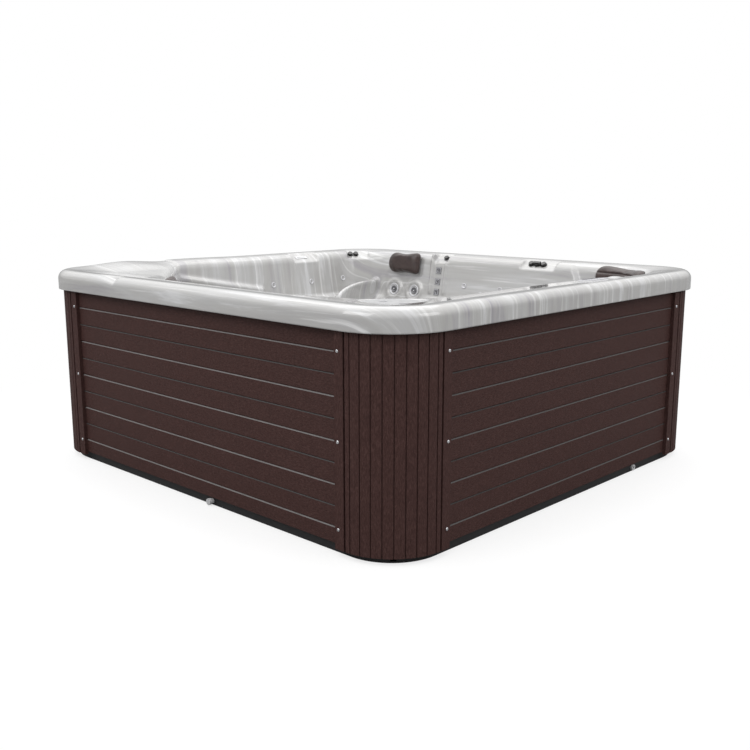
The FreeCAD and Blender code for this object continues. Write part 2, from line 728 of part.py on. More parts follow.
def make_rails():
    """Bottom and top timbers on all four sides and four bearers under the footwell."""
    rails = []
    for side in ("front", "back", "left", "right"):
        rails.append(frame_rail(f"bottom_rail_{side}", side, "tray_height + 0.2", "bottom_rail", "timber"))
        rails.append(frame_rail(f"top_rail_{side}", side, f"{RAIL_TOP} + 0.2", "top_rail",
                                TOP_RAIL_WIDTH[side]))
    for number, (x, y) in enumerate(((-340, -220), (60, -220), (-340, 180), (60, 180))):
        rails.append(box(f"bearer_{number}", "280", "timber", "foot_level - shell_wall - tray_floor - 0.4",
                         str(x), str(y), "tray_floor + 0.2"))
    return node("frame_rails", group("frame_rails", rails))


SCREW_HEIGHTS = [size("screw_top") - step * size("screw_pitch") for step in range(3)]


def screw_places():
    """Centre of each screw head on the strips and the outward direction of its side."""
    half_x, half_y = size("cabinet_x") / 2, size("cabinet_y") / 2
    inset = size("screw_inset")
    places = []
    for height in SCREW_HEIGHTS:
        for sign in (-1, 1):
            for end in (-1, 1):
                places.append((FreeCAD.Vector(end * (half_x - inset), sign * half_y, height),
                               FreeCAD.Vector(0, sign, 0)))
                places.append((FreeCAD.Vector(sign * half_x, end * (half_y - inset), height),
                               FreeCAD.Vector(sign, 0, 0)))
    return places


def screw_holes(radius):
    tools = []
    for place, out in screw_places():
        tools.append(Part.makeCylinder(radius, size("screw_length") + 6, place + out, out * -1))
    return tools


def make_screws():
    """Pan-head screws through the strips and panels into the posts."""
    head = size("screw_head")
    dome = head / 2
    solids = []
    for place, out in screw_places():
        button = Part.makeCylinder(head, dome, place + out * 0.1, out)
        edges = [edge for edge in button.Edges if (edge.BoundBox.Center - place).dot(out) > dome]
        button = button.makeFillet(dome * 0.9, edges)
        shank = Part.makeCylinder(size("screw_shank"), size("screw_length"), place + out * 0.1, out * -1)
        solids.append(button.fuse(shank))
    item = node("cabinet_screws", doc.addObject("Part::Feature", "cabinet_screws"))
    item.Shape = Part.makeCompound(solids)
    return item


def make_posts():
    """Eight upright timbers behind the panel ends, drilled for the screws."""
    holes = screw_holes(size("screw_shank") + 0.1)
    side = size("timber")
    low = size("tray_height") + size("bottom_rail") + 0.4
    top = size("rim_top") - size("deck_wall") - size("top_rail") - size("rail_gap")
    inset = size("screw_inset")
    half_x, half_y = size("cabinet_x") / 2, size("cabinet_y") / 2
    back_off = size("corner_wall") + size("panel_wall") + 0.5
    solids = []
    for sign in (-1, 1):
        for end in (-1, 1):
            across = end * (half_x - inset)
            near = sign * (half_y - back_off)
            far = near - sign * side
            left, right = across - side / 2, across + side / 2
            solids.append(block(left, right, min(near, far), max(near, far), low, top))
            along = end * (half_y - inset)
            near = sign * (half_x - back_off)
            far = near - sign * side
            front, back = along - side / 2, along + side / 2
            solids.append(block(min(near, far), max(near, far), front, back, low, top))
    item = node("frame_posts", doc.addObject("Part::Feature", "frame_posts"))
    item.Shape = Part.makeCompound([solid.cut(holes) for solid in solids])
    return item


def make_panel(name, length, turn, x, y):
    """A flat side panel with nine plank grooves, wide and narrow in turn."""
    body = new_body(name)
    plan = new_sketch(body, f"{name}_plan")
    rectangle(plan, f"-({length})/2", f"({length})/2", "0", "panel_wall")
    pad(body, plan, "cabinet_top - panel_bottom")
    for kind, first, count in (("wide", "0", 5), ("narrow", "groove_pitch", 4)):
        width = f"{kind}_groove"
        middle = f"groove_first - panel_bottom - {first}"
        section = new_sketch(body, f"{name}_{kind}", "YZ_Plane")
        polygon(section, [("-1", f"{middle} - {width}/2 - groove_depth/2"),
                          ("groove_depth", f"{middle} - {width}/4"),
                          ("groove_depth", f"{middle} + {width}/2"), ("-1", f"{middle} + {width}/2")])
        groove = body.newObject("PartDesign::Pocket", f"{name}_{kind}_groove")
        groove.Profile = section
        groove.Midplane = True
        bind(groove, Length=f"{length} + 2")
        rows = body.newObject("PartDesign::LinearPattern", f"{name}_{kind}_rows")
        rows.Originals = [groove]
        rows.Direction = (next(part for part in body.Origin.OriginFeatures if part.Role == "Z_Axis"), [""])
        rows.Reversed = True
        rows.Occurrences = count
        bind(rows, Length=f"groove_pitch*{2 * (count - 1)}")
        body.Tip = rows
    for number, end in enumerate((-1, 1)):
        row = new_sketch(body, f"{name}_screws_{number}", "XZ_Plane")
        across = f"{end}*(({length})/2 + corner_radius + strip_width - panel_lap - screw_inset)"
        for height in range(3):
            circle(row, "screw_shank + 0.1", across, f"screw_top - {height}*screw_pitch - panel_bottom")
        holes = body.newObject("PartDesign::Pocket", f"{name}_holes_{number}")
        holes.Profile = row
        holes.Type = "ThroughAll"
        holes.Midplane = True
        body.Tip = holes
    body.Placement = FreeCAD.Placement(FreeCAD.Vector(), FreeCAD.Rotation(UP, turn))
    move(body, x, y, "panel_bottom")
    return body


def make_corner(name, turn, x, y):
    """A quarter-round slatted panel with a flat screw strip at each end, arc centre at its own origin."""
    tall = "cabinet_top - corner_bottom"
    quarter = FreeCAD.Rotation(UP, -90)
    outer = rod(f"{name}_arc", "corner_radius", tall, "0", "0", "0")
    inner = rod(f"{name}_bore", "corner_radius - corner_wall", f"{tall} + 2", "0", "0", "-1")
    outer.Angle = 90
    outer.Placement.Rotation = quarter
    front_strip = box(f"{name}_strip_a", "strip_width + 1", "corner_wall", tall,
                      "-strip_width", "-corner_radius", "0")
    side_strip = box(f"{name}_strip_b", "corner_wall", "strip_width + 1", tall,
                     "corner_radius - corner_wall", "-1", "0")
    ring = cut(f"{name}_ring", outer, inner)
    blank = joined(f"{name}_blank", [ring, front_strip, side_strip])
    tools = []
    angles = [-90 + size("end_slat_angle") + step * size("slat_angle") for step in range(9)]
    for number, angle in enumerate(angles + [-90, 0]):
        wide = "deep_groove" if angle in (-90, 0) else "slat_groove"
        slot = doc.addObject("Part::Box", f"{name}_groove_{number}")
        bind(slot, Length=wide, Width=wide, Height=f"{tall} + 2")
        out = FreeCAD.Rotation(UP, angle)
        depth, half = size(wide), size(wide) / 2
        corner = out.multVec(FreeCAD.Vector(size("corner_radius") - depth + 0.01, -half, -1))
        slot.Placement = FreeCAD.Placement(corner, out)
        tools.append(slot)
    for number in range(3):
        height = f"screw_top - {number}*screw_pitch - corner_bottom"
        tools.append(rod(f"{name}_hole_a{number}", "screw_shank + 0.1", "corner_wall + 4",
                         "corner_radius - screw_inset", "-corner_radius - 2", height, ALONG_Y))
        tools.append(rod(f"{name}_hole_b{number}", "screw_shank + 0.1", "corner_wall + 4",
                         "corner_radius - corner_wall - 2", "screw_inset - corner_radius", height, ALONG_X))
    panel = node(name, cut(name, blank, joined(f"{name}_tools", tools)))
    panel.Placement = FreeCAD.Placement(FreeCAD.Vector(), FreeCAD.Rotation(UP, turn))
    move(panel, x, y, "corner_bottom")
    return panel


def make_cabinet():
    front_length = "cabinet_x - 2*(corner_radius + strip_width - panel_lap)"
    side_length = "cabinet_y - 2*(corner_radius + strip_width - panel_lap)"
    face_x, face_y = "cabinet_x/2 - corner_wall - 0.2", "cabinet_y/2 - corner_wall - 0.2"
    make_panel("front_panel", front_length, 0, "0", f"-({face_y})")
    make_panel("right_panel", side_length, 90, face_x, "0")
    make_panel("back_panel", front_length, 180, "0", face_y)
    make_panel("left_panel", side_length, 270, f"-({face_x})", "0")
    arc_x, arc_y = "cabinet_x/2 - corner_radius", "cabinet_y/2 - corner_radius"
    make_corner("front_right_corner", 0, arc_x, f"-({arc_y})")
    make_corner("back_right_corner", 90, arc_x, arc_y)
    make_corner("back_left_corner", 180, f"-({arc_x})", arc_y)
    make_corner("front_left_corner", 270, f"-({arc_x})", f"-({arc_y})")


def make_foam():
    """Insulation sheets behind the four flat panels, between the posts."""
    sheets = []
    long_x = "cabinet_x - 2*screw_inset - timber - 8"
    long_y = "cabinet_y - 2*screw_inset - timber - 8"
    tall = f"{RAIL_TOP} - ({POST_LOW}) - 8"
    low = f"{POST_LOW} + 4"
    sheets.append(box("foam_front", long_x, "foam", tall, f"-({long_x})/2", f"-({FRONT_FACE})", low))
    sheets.append(box("foam_back", long_x, "foam", tall, f"-({long_x})/2", f"{FRONT_FACE} - foam", low))
    sheets.append(box("foam_left", "foam", long_y, tall, f"-({SIDE_FACE})", f"-({long_y})/2", low))
    sheets.append(box("foam_right", "foam", long_y, tall, f"{SIDE_FACE} - foam", f"-({long_y})/2", low))
    return node("insulation_sheets", group("insulation_sheets", sheets))


make_tray()
make_rails()
make_posts()
make_cabinet()
make_screws()
make_foam()


# ---------------------------------------------------------------- bather side

def feature(name, shape):
    """A sub-part whose shape is set here."""
    item = node(name, doc.addObject("Part::Feature", name))
    item.Shape = shape
    return item


def disc(radius, low, top):
    return Part.makeCylinder(radius, top - low, FreeCAD.Vector(0, 0, low))


def make_pillow(name, kind, frame):
    """A head pillow: a plain rounded pad standing clear of the wall."""
    body = new_body(name)
    plan = new_sketch(body, f"{name}_plan")
    tall, wide = f"{kind}_pillow_height/2", f"{kind}_pillow_width/2"
    rectangle(plan, f"-{tall}", tall, f"-{wide}", wide)
    block_pad = pad(body, plan, "pillow_thick")
    doc.recompute()
    thick = size("pillow_thick")
    soft = rounded(body, block_pad, upright_edges(block_pad.Shape, 0, thick), "40")
    doc.recompute()
    front = [f"Edge{number}" for number, edge in enumerate(soft.Shape.Edges, start=1)
             if edge.BoundBox.ZMin > thick - 0.1]
    rounded(body, soft, front, "20")
    body.Placement = shifted(frame, z=PILLOW_GAP)
    return body


PILLOW_GAP = 4


def make_corner_pillow():
    """A long pillow that wraps round the back right corner of the well."""
    low, top, thick = size("corner_pillow_low"), size("corner_pillow_top"), size("pillow_thick")
    radius = WELL_RADII[5]
    outer = []
    for height in (low, top):
        inset = (size("rim_top") + WELL_OVER - height) * math.tan(math.radians(size("well_draft")))
        outer.append(FreeCAD.Vector(radius - inset - PILLOW_GAP, 0, height))
    corners = [outer[0], outer[1], outer[1] - ALONG_X * thick, outer[0] - ALONG_X * thick, outer[0]]
    first_angle, last_angle = 15, 108
    pad_shape = Part.Face(Part.makePolygon(corners)).revolve(FreeCAD.Vector(), UP, last_angle - first_angle)
    pad_shape = pad_shape.makeFillet(16, pad_shape.Edges)
    corner = FreeCAD.Vector(size("well_x") / 2 - radius, size("well_back") - radius, 0)
    place = FreeCAD.Placement(corner, FreeCAD.Rotation(UP, first_angle))
    feature("back_right_pillow", placed(pad_shape, place))


def make_rotary_jets():
    """Two large jets: flanged ring in the wall, housing behind it and a spinning nozzle in the ring."""
    ring, nozzle = size("jet_radius"), size("nozzle_radius")
    rings, housings = [], []
    for frame in ROTARY.values():
        face = disc(ring, 0.3, 7).fuse(disc(30, -14, 0.4))
        face = face.cut([disc(nozzle + size("clearance"), -20, 3), disc(nozzle + 6, 2.5, 10)])
        rings.append(placed(face, frame))
        cup = disc(36, -70, -14.4).fuse(disc(12, -90, -69))
        housings.append(placed(cup.cut([disc(24, -66, -14), disc(9, -91, -60)]), frame))
    feature("rotary_jet_rings", Part.makeCompound(rings))
    feature("rotary_jet_bodies", Part.makeCompound(housings))
    for side, frame in ROTARY.items():
        profile = [("0", "-16"), ("nozzle_radius - 5", "-16"), ("nozzle_radius", "-10"),
                   ("nozzle_radius", "3"), ("nozzle_radius - 4", "6"), ("0", "6")]
        body = turned(f"rotary_nozzle_{side}", profile)
        outlet = new_sketch(body, f"outlet_{side}")
        circle(outlet, "5", "8", "0")
        hole = pocket(body, outlet, "60")
        hole.Midplane = True
        body.Placement = frame


def jet_insert(frame, square):
    """A small fixed jet: flange, barrel through the wall and a bore."""
    barrel = size("small_jet") - 0.1
    flange = block(-17, 17, -17, 17, 0.3, 4) if square else disc(15, 0.3, 4)
    insert = flange.fuse(disc(barrel, -40, 0.4))
    return placed(insert.cut([disc(4, -41, 10), disc(8, 1.5, 10)]), frame)


def knob(frame, radius, height):
    """A valve knob with grip flutes and its spindle, turning about its own Z."""
    low = size("plate") + PLATE_GAP
    body = disc(radius, low, low + height)
    edge = [item for item in body.Edges if item.BoundBox.ZMin > low + height - 0.5]
    body = body.makeFillet(2, edge)
    flutes = []
    for step in range(10):
        turn = math.radians(36 * step)
        place = FreeCAD.Vector((radius + 1) * math.cos(turn), (radius + 1) * math.sin(turn), low - 1)
        flutes.append(Part.makeCylinder(2.2, height + 2, place))
    body = body.cut(flutes).fuse(disc(size("spindle"), SPINDLE_FOOT, low + 1))
    return placed(body, frame)


PLATE_GAP = 0.3
SPINDLE_FOOT = -25


def valve_plate(pod):
    """A raised plate over the valve barrels of one pocket."""
    plate, radius, barrel = size("plate"), size("plate_radius"), size("barrel")
    bores, solids = [], []
    for across in VALVES[pod]:
        centre = FreeCAD.Vector(across, 0, 0)
        solids.append(Part.makeCylinder(radius, plate - PLATE_GAP, centre + UP * PLATE_GAP))
        solids.append(Part.makeCylinder(barrel, 38, centre - UP * 37))
        bores.append(Part.makeCylinder(size("spindle") + size("clearance"), 80, centre - UP * 30))
    left, right = min(VALVES[pod]), max(VALVES[pod])
    if right > left:
        solids.append(block(left, right, -radius * 0.6, radius * 0.6, PLATE_GAP, plate))
    whole = solids[0].fuse(solids[1:]).removeSplitter().cut(bores)
    return placed(whole, PODS[pod][0])


def make_valves():
    """Air controls, water diverter and neck-jet valve in their rim pockets."""
    radius, height = size("knob_radius"), size("knob_height")
    feature("air_control_plate", valve_plate("air"))
    feature("air_knob_left", knob(valve_frame("air", AIR_VALVES[0]), radius, height))
    feature("air_knob_right", knob(valve_frame("air", AIR_VALVES[1]), radius, height))
    feature("diverter_plate", valve_plate("diverter"))
    feature("diverter_knob_left", knob(valve_frame("diverter", DIVERTER_VALVES[0]), radius, height))
    feature("diverter_knob_right", knob(valve_frame("diverter", DIVERTER_VALVES[2]), radius, height))
    low = size("plate") + PLATE_GAP
    hub = disc(12, low, low + 10).fuse(block(-21, 21, -6, 6, low + 3, low + 16))
    handle = hub.fuse(disc(size("spindle"), SPINDLE_FOOT, low + 1))
    feature("diverter_handle", placed(handle, valve_frame("diverter", DIVERTER_VALVES[1])))
    feature("neck_valve_knob", knob(valve_frame("neck", NECK_VALVES[0]), radius, height))
    frames = [jet_insert(frame, True) for frame in NECK_JETS]
    feature("neck_jets", Part.makeCompound(frames + [valve_plate("neck")]))


def make_waterfall():
    """A flat nozzle in the slot of its pocket."""
    frame = shifted(PODS["waterfall"][0], x=-16)
    spout = block(-35, 35, -5, 5, -28, 0.4).fuse(block(-40, 40, -9, 9, 0.3, 3))
    return feature("waterfall_spout", placed(spout.cut(block(-32, 32, -2, 2, -20, 10)), frame))


BUTTONS = {"jets": -1.5, "light": -0.5, "warmer": 0.5, "cooler": 1.5}


def make_control_panel():
    """Topside panel: a low bezel on the deck with a display window and four push buttons."""
    foot, frame = 0.3, panel_frame()
    bezel = block(-72, 72, -34, 34, foot, foot + 6)
    upright = [edge for edge in bezel.Edges if abs(edge.tangentAt(edge.FirstParameter).z) > 0.9]
    bezel = bezel.makeFillet(14, upright)
    rim = [edge for edge in bezel.Edges if edge.BoundBox.ZMin > foot + 5.9]
    bezel = bezel.makeFillet(3, rim)
    bezel = bezel.fuse(block(-64, 64, -24, 24, -30, foot + 1))
    window = block(-40, 40, -20, -2, foot + 4.5, foot + 20)
    wells = [button_block(place, 0.1, foot + 1, foot + 20) for place in BUTTONS.values()]
    feature("control_bezel", placed(bezel.cut([window] + wells), frame))
    for name, place in BUTTONS.items():
        cap = button_block(place, 0, foot + 2.8, foot + 7.6)
        edges = [edge for edge in cap.Edges if edge.BoundBox.ZMin > foot + 7.5]
        feature(f"{name}_button", placed(cap.makeFillet(1, edges), frame))


def button_block(place, gap, low, top):
    """A push button's block, or with a gap its well, so many pitches from the panel's middle."""
    x, y = place * size("button_pitch"), 13
    half_x, half_y = size("button_x") / 2 + gap, size("button_y") / 2 + gap
    return block(x - half_x, x + half_x, y - half_y, y + half_y, low, top)


def make_footwell_fittings():
    """Lamp lens, suction covers, floor drain and its hose."""
    lens = disc(46, 0.3, 5).fuse(disc(38, -34, 0.4))
    lens = lens.makeFillet(3, [edge for edge in lens.Edges if edge.BoundBox.ZMin > 4.9])
    feature("footwell_light", placed(lens, LIGHT))
    covers = []
    for frame in SUCTIONS:
        dome = Part.makeSphere(70, FreeCAD.Vector(0, 0, -44)).common(disc(52, 0.3, 40))
        cover = dome.fuse(disc(38, -34, 0.5)).cut(disc(24, -40, -4))
        slots = []
        for step in range(-4, 5):
            slots.append(block(-36, 36, step * 8 - 1.5, step * 8 + 1.5, 8, 60))
        covers.append(placed(cover.cut(slots), frame))
    feature("suction_covers", Part.makeCompound(covers))
    floor = size("foot_level")
    drain = disc(32, floor + 0.3, floor + 4).fuse(disc(22, floor - 30, floor + 0.4))
    slots = [block(-20, 20, step * 8 - 1.5, step * 8 + 1.5, floor + 1, floor + 10) for step in range(-2, 3)]
    drain = drain.cut(slots)
    x = size("drain_x")
    hose = pipe([(0, 0, floor - 31), (0, 0, 36), (0, -520, 36), (x, -520, 36), (x, -933, 36)], 8, 14)
    feature("floor_drain", Part.makeCompound([drain, hose]))


def pipe(points, radius, bend):
    """A round pipe along straight runs joined by bends."""
    path = [FreeCAD.Vector(*point) for point in points]
    edges = []
    start = path[0]
    for before, here, after in zip(path, path[1:], path[2:]):
        entry = (before - here).normalize()
        leave = (after - here).normalize()
        first, last = here + entry * bend, here + leave * bend
        side = (entry + leave).normalize()
        middle = here + side * (bend * (math.sqrt(2) - 1))
        edges.append(Part.makeLine(start, first))
        edges.append(Part.Arc(first, middle, last).toShape())
        start = last
    edges.append(Part.makeLine(start, path[-1]))
    profile = Part.Wire(Part.makeCircle(radius, path[0], path[1] - path[0]))
    return Part.Wire(edges).makePipeShell([profile], True, False)


make_pillow("back_left_pillow", "seat", back_wall(-604, 785))
make_pillow("lounger_pillow", "lounger", slanting_wall(285, 756))
make_corner_pillow()
make_rotary_jets()
feature("small_jets", Part.makeCompound([jet_insert(frame, False) for frame in SMALL_JETS]))
make_valves()
make_waterfall()
make_control_panel()
make_footwell_fittings()


# ---------------------------------------------------------------- skimmer and filter

def make_skimmer():
    """Round filter housing with a throat to the wall, its weir flap, basket, cartridge and lid."""
    centre = FreeCAD.Vector(size("filter_at_x"), size("filter_at_y"), 0)
    bore, low = size("filter_bore"), size("filter_bottom")
    lid_at = size("lid_seat")
    can = Part.makeCylinder(bore + 4, lid_at - 1 - low, centre + UP * low)
    throat = mouth_box(3, 120, -0.5)
    hollow = Part.makeCylinder(bore, 800, centre + UP * (low + 5))
    drain = Part.makeCylinder(20, 20, centre + UP * (low - 5))
    pin_holes = pivot_rod(3 + size("clearance"), size("mouth_width") + 4)
    housing = can.fuse(throat).cut([hollow, mouth_box(0, 125, 5), drain, pin_holes])
    feature("skimmer_housing", housing)
    feature("weir_flap", make_flap())
    basket = Part.makeCylinder(88, 44, centre + UP * 640).cut(Part.makeCylinder(84, 44, centre + UP * 644))
    slots = []
    for step in range(16):
        slot = block(60, 100, -3, 3, 648, 676)
        slot.Placement = FreeCAD.Placement(centre, FreeCAD.Rotation(UP, step * 22.5))
        slots.append(slot)
    grip = block(-86, 86, -4, 4, 664, 676)
    grip.Placement = FreeCAD.Placement(centre, FreeCAD.Rotation())
    feature("filter_basket", basket.cut(slots).fuse(grip))
    cartridge = Part.makeCylinder(76, 300, centre + UP * 325)
    caps = [Part.makeCylinder(82, 14, centre + UP * height) for height in (311, 625)]
    core = Part.makeCylinder(24, 340, centre + UP * 300)
    feature("filter_cartridge", cartridge.fuse(caps).cut(core))
    lid = Part.makeCylinder(size("lid_radius"), 10, centre + UP * (lid_at + 0.2))
    lid = lid.makeFillet(4, [edge for edge in lid.Edges if edge.BoundBox.ZMin > lid_at + 10])
    places = [centre + FreeCAD.Vector(side * 46, 0, lid_at + 5) for side in (-1, 1)]
    feature("filter_lid", lid.cut([Part.makeCylinder(16, 10, place) for place in places]))


def pivot_rod(radius, length):
    start = FreeCAD.Vector(size("flap_up"), -length / 2, size("flap_back"))
    return placed(Part.makeCylinder(radius, length, start, ALONG_Y), mouth_frame())


def make_flap():
    """Weir flap hung on a pin across the foot of the throat."""
    low, back = size("flap_up"), size("flap_back")
    half = size("mouth_width") / 2 - 1
    plate = placed(block(low - 66, low, -half, half, back - 2, back + 2), mouth_frame())
    return plate.fuse(pivot_rod(3, size("mouth_width") + 3))


make_skimmer()


# ---------------------------------------------------------------- equipment bay


def spindle_rod(radius, left, right, height=None):
    """A cylinder along X on the pump axis, or at another height above it."""
    start = FreeCAD.Vector(left, size("pump_y"), size("pump_z") if height is None else height)
    return Part.makeCylinder(radius, right - left, start, ALONG_X)


def make_pump():
    """Wet end with suction and discharge ports, motor on feet, and the rotor inside both."""
    volute, width = size("volute_radius"), size("volute_width")
    left = size("pump_x") - size("motor_length") / 2 - 15 - width
    right = left + width
    y, z = size("pump_y"), size("pump_z")
    port = left + width / 2
    up = Part.makeCylinder(30, volute + 38, FreeCAD.Vector(port, y, z))
    case = spindle_rod(volute, left, right).fuse([spindle_rod(30, left - 30, left + 1), up])
    socket = size("pipe_radius") + 0.1
    shaft_hole = size("shaft_radius") + size("clearance")
    tools = [spindle_rod(volute - 20, left + 10, right - 10), spindle_rod(socket, left - 31, left - 10)]
    tools += [spindle_rod(22, left - 20, left + 20), spindle_rod(shaft_hole, left + 20, right + 5)]
    tools.append(Part.makeCylinder(22, volute + 50, FreeCAD.Vector(port, y, z)))
    tools.append(Part.makeCylinder(socket, 20, FreeCAD.Vector(port, y, z + volute + 18.5)))
    feature("pump_wet_end", case.cut(tools))
    start, end = right + 15, right + 15 + size("motor_length")
    motor = spindle_rod(size("motor_radius"), start, end).fuse(spindle_rod(60, right + 0.3, start + 1))
    low = size("tray_floor") + 0.2
    feet = [block(start + 25, start + 65, y - 60, y + 60, low, z - 40),
            block(end - 60, end - 20, y - 60, y + 60, low, z - 40)]
    terminal_box = block(start + 60, start + 160, y - 35, y + 35, z + 50, z + 105)
    motor = motor.fuse(feet + [terminal_box])
    grooves = []
    for rib in range(14):
        ring = spindle_rod(size("motor_radius") + 5, start + 70 + rib * 10, start + 75 + rib * 10)
        grooves.append(ring.cut([spindle_rod(size("motor_radius") - 3, start, end)] + feet + [terminal_box]))
    motor = motor.cut(grooves + [spindle_rod(shaft_hole, right, end - 30)])
    feature("pump_motor", motor)
    shaft = spindle_rod(size("shaft_radius"), port - 12, end - 32)
    wheel = spindle_rod(volute - 30, port - 12, port + 12)
    vanes = []
    for step in range(6):
        vane = block(0, 16, -3, 3, 22, volute - 32)
        turn = FreeCAD.Rotation(ALONG_X, 60 * step)
        vane.Placement = FreeCAD.Placement(FreeCAD.Vector(port - 4, y, z), turn)
        vanes.append(vane)
    rotor = wheel.cut(spindle_rod(volute - 31, port - 4, port + 20)).fuse([shaft] + vanes)
    feature("pump_rotor", rotor)
    return left, port


def make_heater():
    """Heater tube between two union nuts."""
    left, right = size("heater_left"), size("heater_right")
    radius, height, y = size("heater_radius"), size("heater_z"), size("pump_y")
    tube = spindle_rod(radius, left, right, height).cut(spindle_rod(radius - 2, left - 1, right + 1, height))
    box_at = block(left + 60, right - 60, y - 25, y + 25, height + radius - 6, height + 62)
    feature("heater_tube", tube.fuse(box_at.cut(spindle_rod(radius - 1, left, right, height))))
    socket = size("pipe_radius") + 0.1
    place = FreeCAD.Vector(0, y, height)
    unions = []
    for start, end in ((left - 34, left - 0.3), (right + 0.3, right + 34)):
        nut = spindle_rod(42, start, end, height)
        notches = [spindle_rod(socket, start - 1, end + 1, height)]
        for step in range(8):
            notch = block(start - 1, end + 1, -4, 4, 38, 50)
            notch.Placement = FreeCAD.Placement(place, FreeCAD.Rotation(ALONG_X, 45 * step))
            notches.append(notch)
        unions.append(nut.cut(notches))
    feature("heater_unions", Part.makeCompound(unions))


def slice_valve(name, frame):
    """A gate valve: own Z along the pipe, own X towards the T-handle; the blade is drawn out when open."""
    radius, half = size("pipe_radius"), size("valve_half")
    case = block(-radius - 14, radius + 62, -36, 36, -half, half)
    tools = [disc(radius + 0.1, -half - 1, -8), disc(radius + 0.1, 8, half + 1), disc(20, -20, 20)]
    tools.append(block(-radius - 6, radius + 63, -27.1, 27.1, -2.1, 2.1))
    blade = block(radius + 3, radius + 60, -27, 27, -2, 2)
    stem = block(radius + 59, radius + 124, -5, 5, -2, 2)
    bar = Part.makeCylinder(7, 64, FreeCAD.Vector(radius + 128, -32, 0), ALONG_Y)
    feature(f"{name}_slice_handle", placed(blade.fuse([stem, bar]), frame))
    return placed(case.cut(tools), frame)


SUCTION_VALVE = FreeCAD.Placement(FreeCAD.Vector(-240, -600, size("pump_z")),
                                  FreeCAD.Rotation(UP, ALONG_X, ALONG_Y, "ZXY"))
PRESSURE_VALVE = FreeCAD.Placement(FreeCAD.Vector(430, size("pump_y"), size("heater_z")),
                                   FreeCAD.Rotation(UP, ALONG_Y * -1, ALONG_X, "ZXY"))


def make_plumbing(suction_face, discharge_x):
    """Suction and pressure pipes, slice valves, manifold and the hoses to the rotary jets."""
    y, z = size("pump_y"), size("pump_z")
    radius = size("pipe_radius")
    valves = [slice_valve("suction", SUCTION_VALVE), slice_valve("pressure", PRESSURE_VALVE)]
    feature("slice_valves", Part.makeCompound(valves))
    first = pipe([(-240, -418, z), (-240, -600 + 8.5, z)], radius, 30)
    tee = pipe([(160, -418, z), (160, -500, z), (-239, -500, z)], radius, 40)
    second = pipe([(-240, -600 - 8.5, z), (-240, y, z), (suction_face - 11, y, z)], radius, 40)
    height, manifold_x = size("heater_z"), size("manifold_x")
    rise = pipe([(discharge_x, y, z + size("volute_radius") + 19), (discharge_x, y, height),
                 (size("heater_left") - 1, y, height)], radius, 34)
    onward = pipe([(size("heater_right") + 1, y, height), (430 - 8.5, y, height)], radius, 30)
    feed = pipe([(430 + 8.5, y, height), (manifold_x, y, height), (manifold_x, y, 237)], radius, 40)
    manifold = Part.makeCylinder(38, 200, FreeCAD.Vector(manifold_x, -760, 198), ALONG_Y)
    feature("water_pipes", Part.makeCompound([first.fuse(tee), second, rise, onward, feed.fuse(manifold)]))
    hose = size("hose_radius")
    back = 959
    left, right = size("jet_left"), size("jet_right")
    top = 606
    runs = [
        [(545, -559.5, 212), (545, 520, 212), (right, 520, 212), (right, back, 212), (right, back, top)],
        [(572, -559.5, 180), (572, 560, 180), (left, 560, 180), (left, back, 180), (left, back, top)],
    ]
    feature("jet_hoses", Part.makeCompound([pipe(run, hose, 50) for run in runs]))


def make_electrics():
    """Control box, cable gland in the tray and the supply cable between them."""
    body = new_body("control_box")
    plan = new_sketch(body, "control_box_plan")
    rectangle(plan, "-140", "140", "-70", "70")
    case = pad(body, plan, "240")
    doc.recompute()
    rounded(body, case, upright_edges(case.Shape, 0, 240), "12")
    body.Placement.Base = FreeCAD.Vector(-560, -860, size("tray_floor") + 0.2)
    y, z = size("gland_y"), size("drain_z")
    edge = size("cabinet_x") / 2 - size("tray_inset")
    barrel = Part.makeCylinder(9, 52, FreeCAD.Vector(edge - 51, y, z), ALONG_X)
    nut = Part.makeCylinder(13, 8, FreeCAD.Vector(edge + 0.2, y, z), ALONG_X)
    bore = Part.makeCylinder(6.1, 80, FreeCAD.Vector(edge - 60, y, z), ALONG_X)
    feature("cable_gland", barrel.fuse(nut).cut(bore))
    cable = pipe([(edge + 4, y, z), (940, y, z), (940, -860, z), (-419.8, -860, z)], 6, 40)
    feature("supply_cable", cable)


def make_drain_valve():
    """Drain outlet through the tray border with its pull-off cap."""
    x, z = size("drain_x"), size("drain_z")
    edge = -(size("cabinet_y") / 2 - size("tray_inset"))
    barrel = Part.makeCylinder(10, 74, FreeCAD.Vector(x, edge - 9, z), ALONG_Y)
    riser = Part.makeCylinder(10, 30, FreeCAD.Vector(x, edge + 61, z - 1))
    socket = Part.makeCylinder(7, 16, FreeCAD.Vector(x, edge + 55, 36), ALONG_Y)
    bore = Part.makeCylinder(6, 60, FreeCAD.Vector(x, edge - 10, z), ALONG_Y)
    feature("drain_valve", barrel.fuse(riser).cut([bore, socket]))
    cap = Part.makeCylinder(12.5, 13, FreeCAD.Vector(x, edge - 22.5, z), ALONG_Y)
    plug = Part.makeCylinder(5.95, 26, FreeCAD.Vector(x, edge - 11, z), ALONG_Y)
    feature("drain_cap", cap.fuse(plug))


suction_face, discharge_x = make_pump()
make_heater()
make_plumbing(suction_face, discharge_x)
make_electrics()
make_drain_valve()
doc.recompute()


# ---------------------------------------------------------------- checks and files

def check():
    """Stops on any object that did not come out sound."""
    for item in doc.Objects:
        if "Invalid" in item.State or "Error" in item.State:
            raise RuntimeError(f"{item.Name} failed: {item.State}")
    for item in nodes:
        if item.Shape.isNull() or not item.Shape.isValid():
            raise RuntimeError(f"{item.Label} has no sound shape")


check()
os.makedirs("parts", exist_ok=True)
for item in nodes:
    item.Shape.exportStep(f"parts/{item.Label}.step")
print(len(nodes), "nodes")
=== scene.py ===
import json
import math

import bmesh
import bpy
import numpy as np
from mathutils import Matrix, Vector


